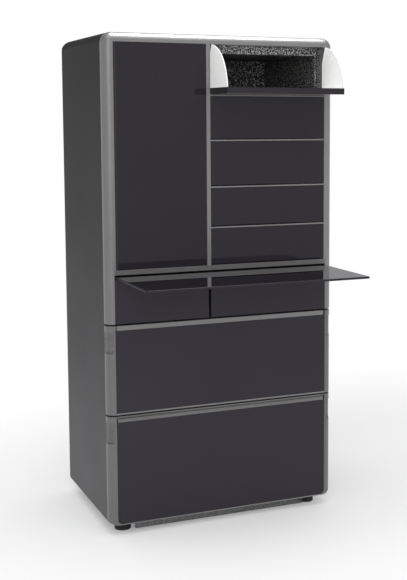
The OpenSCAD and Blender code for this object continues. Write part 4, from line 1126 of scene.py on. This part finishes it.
footSet = {
    "radius": 30 * mm, "padHeight": 28 * mm, "grooves": 4, "grooveDepth": 1.1 * mm, "firstGroove": 6.5 * mm,
    "groovePitch": 4 * mm, "neck": 18 * mm, "nutTop": 40 * mm, "nutEdge": 1 * mm, "stem": 6 * mm,
    "stemTop": 60 * mm, "thread": 1.25 * mm, "threadDepth": 0.7 * mm}


def buildFoot(name, x, y):
    look = footSet
    radius, neck, stem, padTop = look["radius"], look["neck"], look["stem"], look["padHeight"]
    waist = radius - look["grooveDepth"]
    profile = [(radius - 2.5 * mm, 0), (radius - 0.9 * mm, 0.3 * mm), (radius, 1.6 * mm), (radius, 5 * mm)]
    for i in range(look["grooves"]):
        z = look["firstGroove"] + i * look["groovePitch"]
        profile += [(waist, z), (waist, z + 1.2 * mm), (radius, z + 2 * mm), (radius, z + 3.2 * mm)]
    profile += [(radius - 0.8 * mm, padTop - 3.5 * mm), (radius - 3 * mm, padTop - 1.1 * mm),
                (radius - 6 * mm, padTop), (neck - 3 * mm, padTop)]
    pad = lathe("pad", profile, (x, y, 0), "Z", footRubber, 48)
    hexagon = []
    for i in range(6):
        t = math.radians(60 * i + 15)
        hexagon.append((x + neck * math.cos(t), y + neck * math.sin(t)))
    nut = prism("nut", hexagon, "Z", padTop - 0.5 * mm, look["nutTop"], footRubber, look["nutEdge"])
    profile = [(stem - 0.8 * mm, look["nutTop"] - 1 * mm)]
    z = look["nutTop"] - 0.5 * mm
    while z < look["stemTop"] - 1 * mm:
        profile += [(stem, z), (stem - look["threadDepth"], z + look["thread"] / 2)]
        z += look["thread"]
    profile.append((stem - 1.2 * mm, look["stemTop"]))
    return together(name, [pad, nut, lathe("stem", profile, (x, y, 0), "Z", zincSteel, 24)])


def buildFeet():
    low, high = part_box("feet")
    radius = footSet["radius"]
    places = [(x, y) for y in (low.y + radius, high.y - radius) for x in (low.x + radius, high.x - radius)]
    feet = [buildFoot(f"foot_{i}", x, y) for i, (x, y) in enumerate(places)]
    for i, foot in enumerate(feet):
        finished(foot, "cabinet", ["feet"] if i == 0 else ())


buildFeet()
print("kick plate and feet ready")


# Inside the door: a drawn white lining and three racks

liningSet = {"inset": 14 * mm, "sunk": 0.5 * mm, "rise": 2 * mm, "edge": 0.9 * mm, "corner": 14 * mm}
rackSet = {
    "count": 3, "height": 90 * mm, "wall": 2.5 * mm, "corner": 9 * mm, "railFrom": 62 * mm, "railTo": 66 * mm,
    "railSide": 9 * mm, "ribs": 9, "rib": 1.0 * mm, "ribSide": 20 * mm, "ribFrom": 8 * mm, "ribTo": 60 * mm}


def buildLining():
    look = liningSet
    low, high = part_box("door_gasket")
    piece = block("doorLining", (low.x + look["inset"], low.y - look["sunk"], low.z + look["inset"]),
                  (high.x - look["inset"], low.y + look["rise"], high.z - look["inset"]), linerHips, "Y",
                  look["edge"], look["corner"])
    finished(piece, "door", ())


def buildRacks():
    look = rackSet
    low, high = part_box("door_racks")
    for i, z in enumerate(evenly(low.z, high.z - look["height"], look["count"] - 1)):
        tub = cup("tub", (low.x, low.y, z), (high.x, high.y, z + look["height"]), look["wall"],
                  look["corner"], frostedStyrene, 3 * mm, 4 * mm)
        railFront = high.y - look["wall"] - 0.3 * mm
        rail = block("rail", (low.x + look["railSide"], railFront, z + look["railFrom"]),
                     (high.x - look["railSide"], high.y, z + look["railTo"]), frostedStyrene, "Y",
                     0.6 * mm, 1 * mm)
        ribs = []
        for x in evenly(low.x + look["ribSide"], high.x - look["ribSide"], look["ribs"] - 1):
            ribs.append(((x - look["rib"], high.y - 3.4 * mm, z + look["ribFrom"]),
                         (x + look["rib"], high.y - 2.2 * mm, z + look["ribTo"])))
        piece = together(f"doorRack_{i + 1}", [tub, rail, rods("ribs", ribs, frostedStyrene)])
        finished(piece, "door", ["door_racks"] if i == 0 else ())


buildLining()
buildRacks()
print("door racks ready")


# Glass shelves in their trims, and the lamp cover above them

innerSet = {
    "count": 4, "glass": 5 * mm, "inset": 1 * mm, "edge": 0.9 * mm, "corner": 2 * mm,
    "trimSide": 9 * mm, "trimRise": 2 * mm, "trimEdge": 1.2 * mm, "trimCorner": 3 * mm,
    "trimAhead": 2 * mm, "frontTrim": 9 * mm, "backTrim": 10 * mm, "lampEdge": 1.6 * mm, "lampCorner": 5 * mm}


def buildShelves():
    look = innerSet
    low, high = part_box("glass_shelves")
    for i, z in enumerate(evenly(low.z, high.z - look["glass"], look["count"] - 1)):
        top, rise = z + look["glass"], look["trimRise"]
        parts = [block("pane", (low.x, low.y + look["inset"], z), (high.x, high.y - look["inset"], top),
                       floatGlass, "Z", look["edge"], look["corner"])]
        for y0, y1 in ((low.y - look["trimAhead"], low.y + look["frontTrim"]),
                       (high.y - look["backTrim"], high.y)):
            parts.append(block("trim", (low.x + look["trimSide"], y0, z - rise),
                               (high.x - look["trimSide"], y1, top + rise), linerHips, "X",
                               look["trimEdge"], look["trimCorner"]))
        piece = together(f"glassShelf_{i + 1}", parts)
        finished(piece, "cabinet", ["glass_shelves"] if i == 0 else ())
    low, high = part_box("light_strip")
    cover = block("lampCover", low, high, opalPolycarbonate, "Z", look["lampEdge"], look["lampCorner"])
    finished(cover, "cabinet", ["light_strip"])


buildShelves()
print("shelves ready")


# Large drawers: soft gaskets and ribbed baskets hung by their rims

basketSet = {
    "side": 18.5 * mm, "wall": 3 * mm, "corner": 10 * mm, "outerEdge": 4 * mm, "innerEdge": 5 * mm,
    "rim": 3 * mm, "rimInset": 2 * mm, "rimHeight": 20 * mm, "ribPitch": 24 * mm, "rib": 1 * mm,
    "ribRise": 1.2 * mm, "ribSunk": 0.4 * mm, "ribSide": 30 * mm, "ribFrom": 14 * mm, "ribTop": 26 * mm,
    "floorRibEnd": 25 * mm, "seal": 12 * mm, "sealCorner": 3 * mm, "sealEdge": 0.9 * mm}


def buildBasket(drawer):
    look = basketSet
    low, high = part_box(drawer + "_basket")
    x0, x1 = low.x + look["side"], high.x - look["side"]
    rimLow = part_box(drawer + "_carrier")[0].z + look["rimHeight"]
    parts = [cup("tub", (x0, low.y, low.z), (x1, high.y, high.z), look["wall"], look["corner"],
                 frostedStyrene, look["outerEdge"], look["innerEdge"])]
    for a, b in ((low.x, x0 + 1 * mm), (x1 - 1 * mm, high.x)):
        parts.append(block("rim", (a, low.y + look["rimInset"], rimLow),
                           (b, high.y - look["rimInset"], rimLow + look["rim"]), frostedStyrene, "Z",
                           0.8 * mm, 2 * mm))
    ribs = []
    half, rise, sunk = look["rib"], look["ribRise"], look["ribSunk"]
    start, end = x0 + look["ribSide"], x1 - look["ribSide"]
    for x in evenly(start, end, int((end - start) / look["ribPitch"])):
        for y in (low.y + look["wall"] - sunk, high.y - look["wall"] + sunk - rise):
            ribs.append(((x - half, y, low.z + look["ribFrom"]),
                         (x + half, y + rise, high.z - look["ribTop"])))
    start, end = low.y + look["floorRibEnd"], high.y - look["floorRibEnd"]
    floor = low.z + look["wall"]
    for y in evenly(start, end, int((end - start) / look["ribPitch"])):
        ribs.append(((x0 + look["ribFrom"], y - half, floor - sunk),
                     (x1 - look["ribFrom"], y + half, floor + rise)))
    parts.append(rods("ribs", ribs, frostedStyrene))
    finished(together(drawer + "Basket", parts), drawer + "_drawer", [drawer + "_basket"])
    low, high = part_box(drawer + "_gasket")
    seal = hoop(drawer + "Gasket", low, high, "Y", look["seal"], gasketPvc, look["sealCorner"],
                look["sealEdge"])
    finished(seal, drawer + "_drawer", [drawer + "_gasket"])


for drawer in ("vegetable", "freezer"):
    buildBasket(drawer)
print("baskets ready")


# Back: pressed beads and screws on the panel, louvre hoods and screws on the machine cover

backSet = {
    "edge": 0.3 * mm, "lowCorner": 4 * mm, "topCorner": 26 * mm,
    "beads": 5, "beadWidth": 46 * mm, "beadRise": 1.6 * mm, "beadEnd": 130 * mm, "beadCorner": 22 * mm,
    "headRadius": 4.2 * mm, "headRise": 1.8 * mm, "slotWidth": 0.45 * mm, "slotLength": 2.2 * mm,
    "screwRows": (30 * mm, 400 * mm, 760 * mm, 1130 * mm), "topRow": 50 * mm, "screwSide": 32 * mm,
    "coverSide": 40 * mm, "coverMiddle": -10 * mm, "coverLow": 38 * mm, "coverTop": 18 * mm,
    "hoodFrom": -360 * mm, "hoodTo": 240 * mm, "hoodPitch": 26 * mm, "hoodLow": 42 * mm, "hoodTop": 34 * mm}


def buildPanel():
    look = backSet
    low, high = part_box("back_panel")
    corners = [look["lowCorner"], look["lowCorner"], look["topCorner"], look["topCorner"]]
    parts = [block("sheet", low, high, galvanisedSheet, "Y", look["edge"], corners)]
    profile = [(0, 0), (3 * mm, 0.9 * mm), (7 * mm, 1.7 * mm), (11 * mm, 2.0 * mm)]
    half = look["beadWidth"] / 2
    for x in evenly(low.x, high.x, look["beads"] + 1)[1:-1]:
        parts.append(stack("bead", Vector((x - half, high.y - 0.4 * mm, low.z + look["beadEnd"])),
                           Vector((x + half, high.y + look["beadRise"], high.z - look["beadEnd"])), "Y",
                           profile, [look["beadCorner"]] * 4, galvanisedSheet, 8))
    finished(together("backPanel", parts), "cabinet", ["back_panel"])


def screwHead(x, z, y):  # a pan head with a cross recess, facing the back
    look = backSet
    radius, rise = look["headRadius"], look["headRise"]
    profile = [(radius, 0), (radius, rise * 0.35), (radius * 0.82, rise * 0.8), (radius * 0.45, rise)]
    head = lathe("head", profile, (x, y, z), "Y", zincSteel, 20)
    a, b = look["slotWidth"], look["slotLength"]
    arms = [(b, -a), (b, a), (a, a), (a, b), (-a, b), (-a, a),
            (-b, a), (-b, -a), (-a, -a), (-a, -b), (a, -b), (a, -a)]
    cross = prism("cutter", [(x + u, z + v) for u, v in arms], "Y", y + rise * 0.45, y + rise * 2,
                  zincSteel, 0)
    return carve(head, [cross])


def buildScrews():
    look = backSet
    low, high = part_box("back_panel")
    coverLow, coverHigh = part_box("compressor_cover")
    heads = []
    for z in [low.z + row for row in look["screwRows"]] + [high.z - look["topRow"]]:
        for x in (low.x + look["screwSide"], high.x - look["screwSide"]):
            heads.append(screwHead(x, z, high.y - 0.2 * mm))
    for x in (low.x + look["coverSide"], look["coverMiddle"], high.x - look["coverSide"]):
        for z in (coverLow.z + look["coverLow"], coverHigh.z - look["coverTop"]):
            heads.append(screwHead(x, z, coverHigh.y - 0.2 * mm))
    finished(together("backScrews", heads), "cabinet", ())


def buildHoods():
    look = backSet
    coverLow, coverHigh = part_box("compressor_cover")
    foot = coverHigh.y - 0.3 * mm
    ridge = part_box("cabinet_shell")[1].y - 0.4 * mm
    hoods = []
    x = look["hoodFrom"]
    while x < look["hoodTo"]:
        outline = [(x - 2.5 * mm, foot), (x + 0.5 * mm, ridge),
                   (x + 2.4 * mm, ridge + 0.2 * mm), (x + 1.2 * mm, foot)]
        hoods.append(prism("hood", outline, "Z", coverLow.z + look["hoodLow"], coverHigh.z - look["hoodTop"],
                           galvanisedSheet, 0.2 * mm))
        x += look["hoodPitch"]
    finished(together("louvreHoods", hoods), "cabinet", ())


buildPanel()
buildScrews()
buildHoods()
print("back ready")


# Studio: pale floor, white surround, soft lamps and the camera of the photograph

studioSet = {
    "floorSize": 60.0, "floor": "#f5f5f5", "surround": "#ffffff", "daylight": 0.84,
    # painted light on the floor: its white fades in about a centre to the right front and lifts the shadow by
    # a share
    "centre": (0.85, -0.95, 0.0), "whiteFrom": 1.8, "whiteTo": 3.2, "lift": 0.235,  # in metres, and a share
    "skyFrom": 6.1, "skyTo": 7.4, "sky": "#97979a"}  # degrees above the horizon


def seenShare(tree):  # 1 where the camera looks, straight on, in a mirror or through glass
    light = addNode(tree, "ShaderNodeLightPath")
    seen = light.outputs["Is Camera Ray"]
    for ray in ("Is Glossy Ray", "Is Transmission Ray"):
        either = addNode(tree, "ShaderNodeMath", {"operation": "MAXIMUM"}, {0: seen, 1: light.outputs[ray]})
        seen = either.outputs["Value"]
    return seen


# the white share is painted light, which leaves the shadow deeper on the left than on the right
def buildFloor():  # it holds the object's shadow, and goes over to plain white further out
    look = studioSet
    material, tree, place = newMaterial("studioFloor")
    shifted = addNode(tree, "ShaderNodeMapping", {"Location": [-v for v in look["centre"]]},
                      {"Vector": place})
    away = addNode(tree, "ShaderNodeVectorMath", {"operation": "LENGTH"}, {0: shifted.outputs["Vector"]})
    fade = addNode(tree, "ShaderNodeMapRange",
                   {"interpolation_type": "SMOOTHSTEP", "From Min": look["whiteFrom"],
                    "From Max": look["whiteTo"], "To Min": look["lift"], "To Max": 1.0},
                   {"Value": away.outputs["Value"]})
    share = addNode(tree, "ShaderNodeMath", {"operation": "MULTIPLY"},
                    {0: fade.outputs["Result"], 1: seenShare(tree)})
    matt = addNode(tree, "ShaderNodeBsdfDiffuse", {"Color": toLinear(look["floor"])})
    white = addNode(tree, "ShaderNodeEmission", {"Color": toLinear(look["surround"]), "Strength": 1.0})
    mixed = addNode(tree, "ShaderNodeMixShader",
                    links={"Fac": share.outputs["Value"],
                           1: matt.outputs["BSDF"], 2: white.outputs["Emission"]})
    addNode(tree, "ShaderNodeOutputMaterial", links={"Surface": mixed.outputs["Shader"]})
    bm = bmesh.new()
    bmesh.ops.create_grid(bm, x_segments=8, y_segments=8, size=look["floorSize"] / 2)
    newPiece("studioFloor", bm, material)


def buildSurround():  # daylight on the object, white to the eye and grey above the picture
    look = studioSet
    world = bpy.data.worlds.new("studioWhite")
    scene.world = world
    world.use_nodes = True
    tree = world.node_tree
    tree.nodes.clear()
    daylight = addNode(tree, "ShaderNodeBackground",
                       {"Color": toLinear(look["surround"]), "Strength": look["daylight"]})
    way = addNode(tree, "ShaderNodeTexCoord").outputs["Generated"]
    height = addNode(tree, "ShaderNodeSeparateXYZ", links={"Vector": way})
    above = addNode(tree, "ShaderNodeMapRange",
                    {"interpolation_type": "SMOOTHSTEP", "From Min": math.sin(math.radians(look["skyFrom"])),
                     "From Max": math.sin(math.radians(look["skyTo"]))},
                    {"Value": height.outputs["Z"]})
    tint = addNode(tree, "ShaderNodeMix",
                   {"data_type": "RGBA", "A": toLinear(look["surround"]), "B": toLinear(look["sky"])},
                   {"Factor": above.outputs["Result"]})
    white = addNode(tree, "ShaderNodeBackground", {"Strength": 1.0}, {"Color": tint.outputs["Result"]})
    mixed = addNode(tree, "ShaderNodeMixShader",
                    links={"Fac": seenShare(tree),
                           1: daylight.outputs["Background"], 2: white.outputs["Background"]})
    addNode(tree, "ShaderNodeOutputWorld", links={"Surface": mixed.outputs["Shader"]})


buildFloor()
buildSurround()

lampSet = {  # place, aim, size in metres, watts, whether it lights matt and glossy surfaces
    "overhead": ((-0.5, -1.4, 3.8), (0.0, -0.4, 0.6), (3.4, 2.4), 44.0, True, True),
    "front": ((-1.8, -4.4, 2.3), (0.0, 0.0, 1.0), (2.0, 2.0), 50.0, True, True),
    "strip": ((0.30, -0.04, 3.1), (0.30, -0.06, 1.7), (1.3, 0.55), 92.0, False, True)}

for lampName, (place, aim, size, watts, onMatt, onGloss) in lampSet.items():
    data = bpy.data.lights.new(lampName, "AREA")
    data.shape = "RECTANGLE"
    data.size, data.size_y = size
    data.energy = watts
    lamp = bpy.data.objects.new(lampName, data)
    lamp.location = place
    lamp.rotation_euler = (Vector(aim) - Vector(place)).to_track_quat("-Z", "Y").to_euler()
    lamp.visible_diffuse, lamp.visible_glossy = onMatt, onGloss
    scene.collection.objects.link(lamp)

cameraSet = {  # place in metres, tilt and turn in degrees, lens and sensor in millimetres
    "place": (-1.5017, frontY - 3.7853, 1.4927), "tilt": 83.846, "turn": -24.249,
    "lens": 69.86, "sensor": 36, "shiftX": -0.1231, "shiftY": -0.0869}

cameraData = bpy.data.cameras.new("photoCamera")
cameraData.lens = cameraSet["lens"]
cameraData.sensor_width = cameraSet["sensor"]
cameraData.shift_x = cameraSet["shiftX"]
cameraData.shift_y = cameraSet["shiftY"]
camera = bpy.data.objects.new("photoCamera", cameraData)
camera.location = cameraSet["place"]
camera.rotation_euler = (math.radians(cameraSet["tilt"]), 0, math.radians(cameraSet["turn"]))
scene.collection.objects.link(camera)
scene.camera = camera
scene.view_settings.view_transform = "Standard"
print("studio ready")
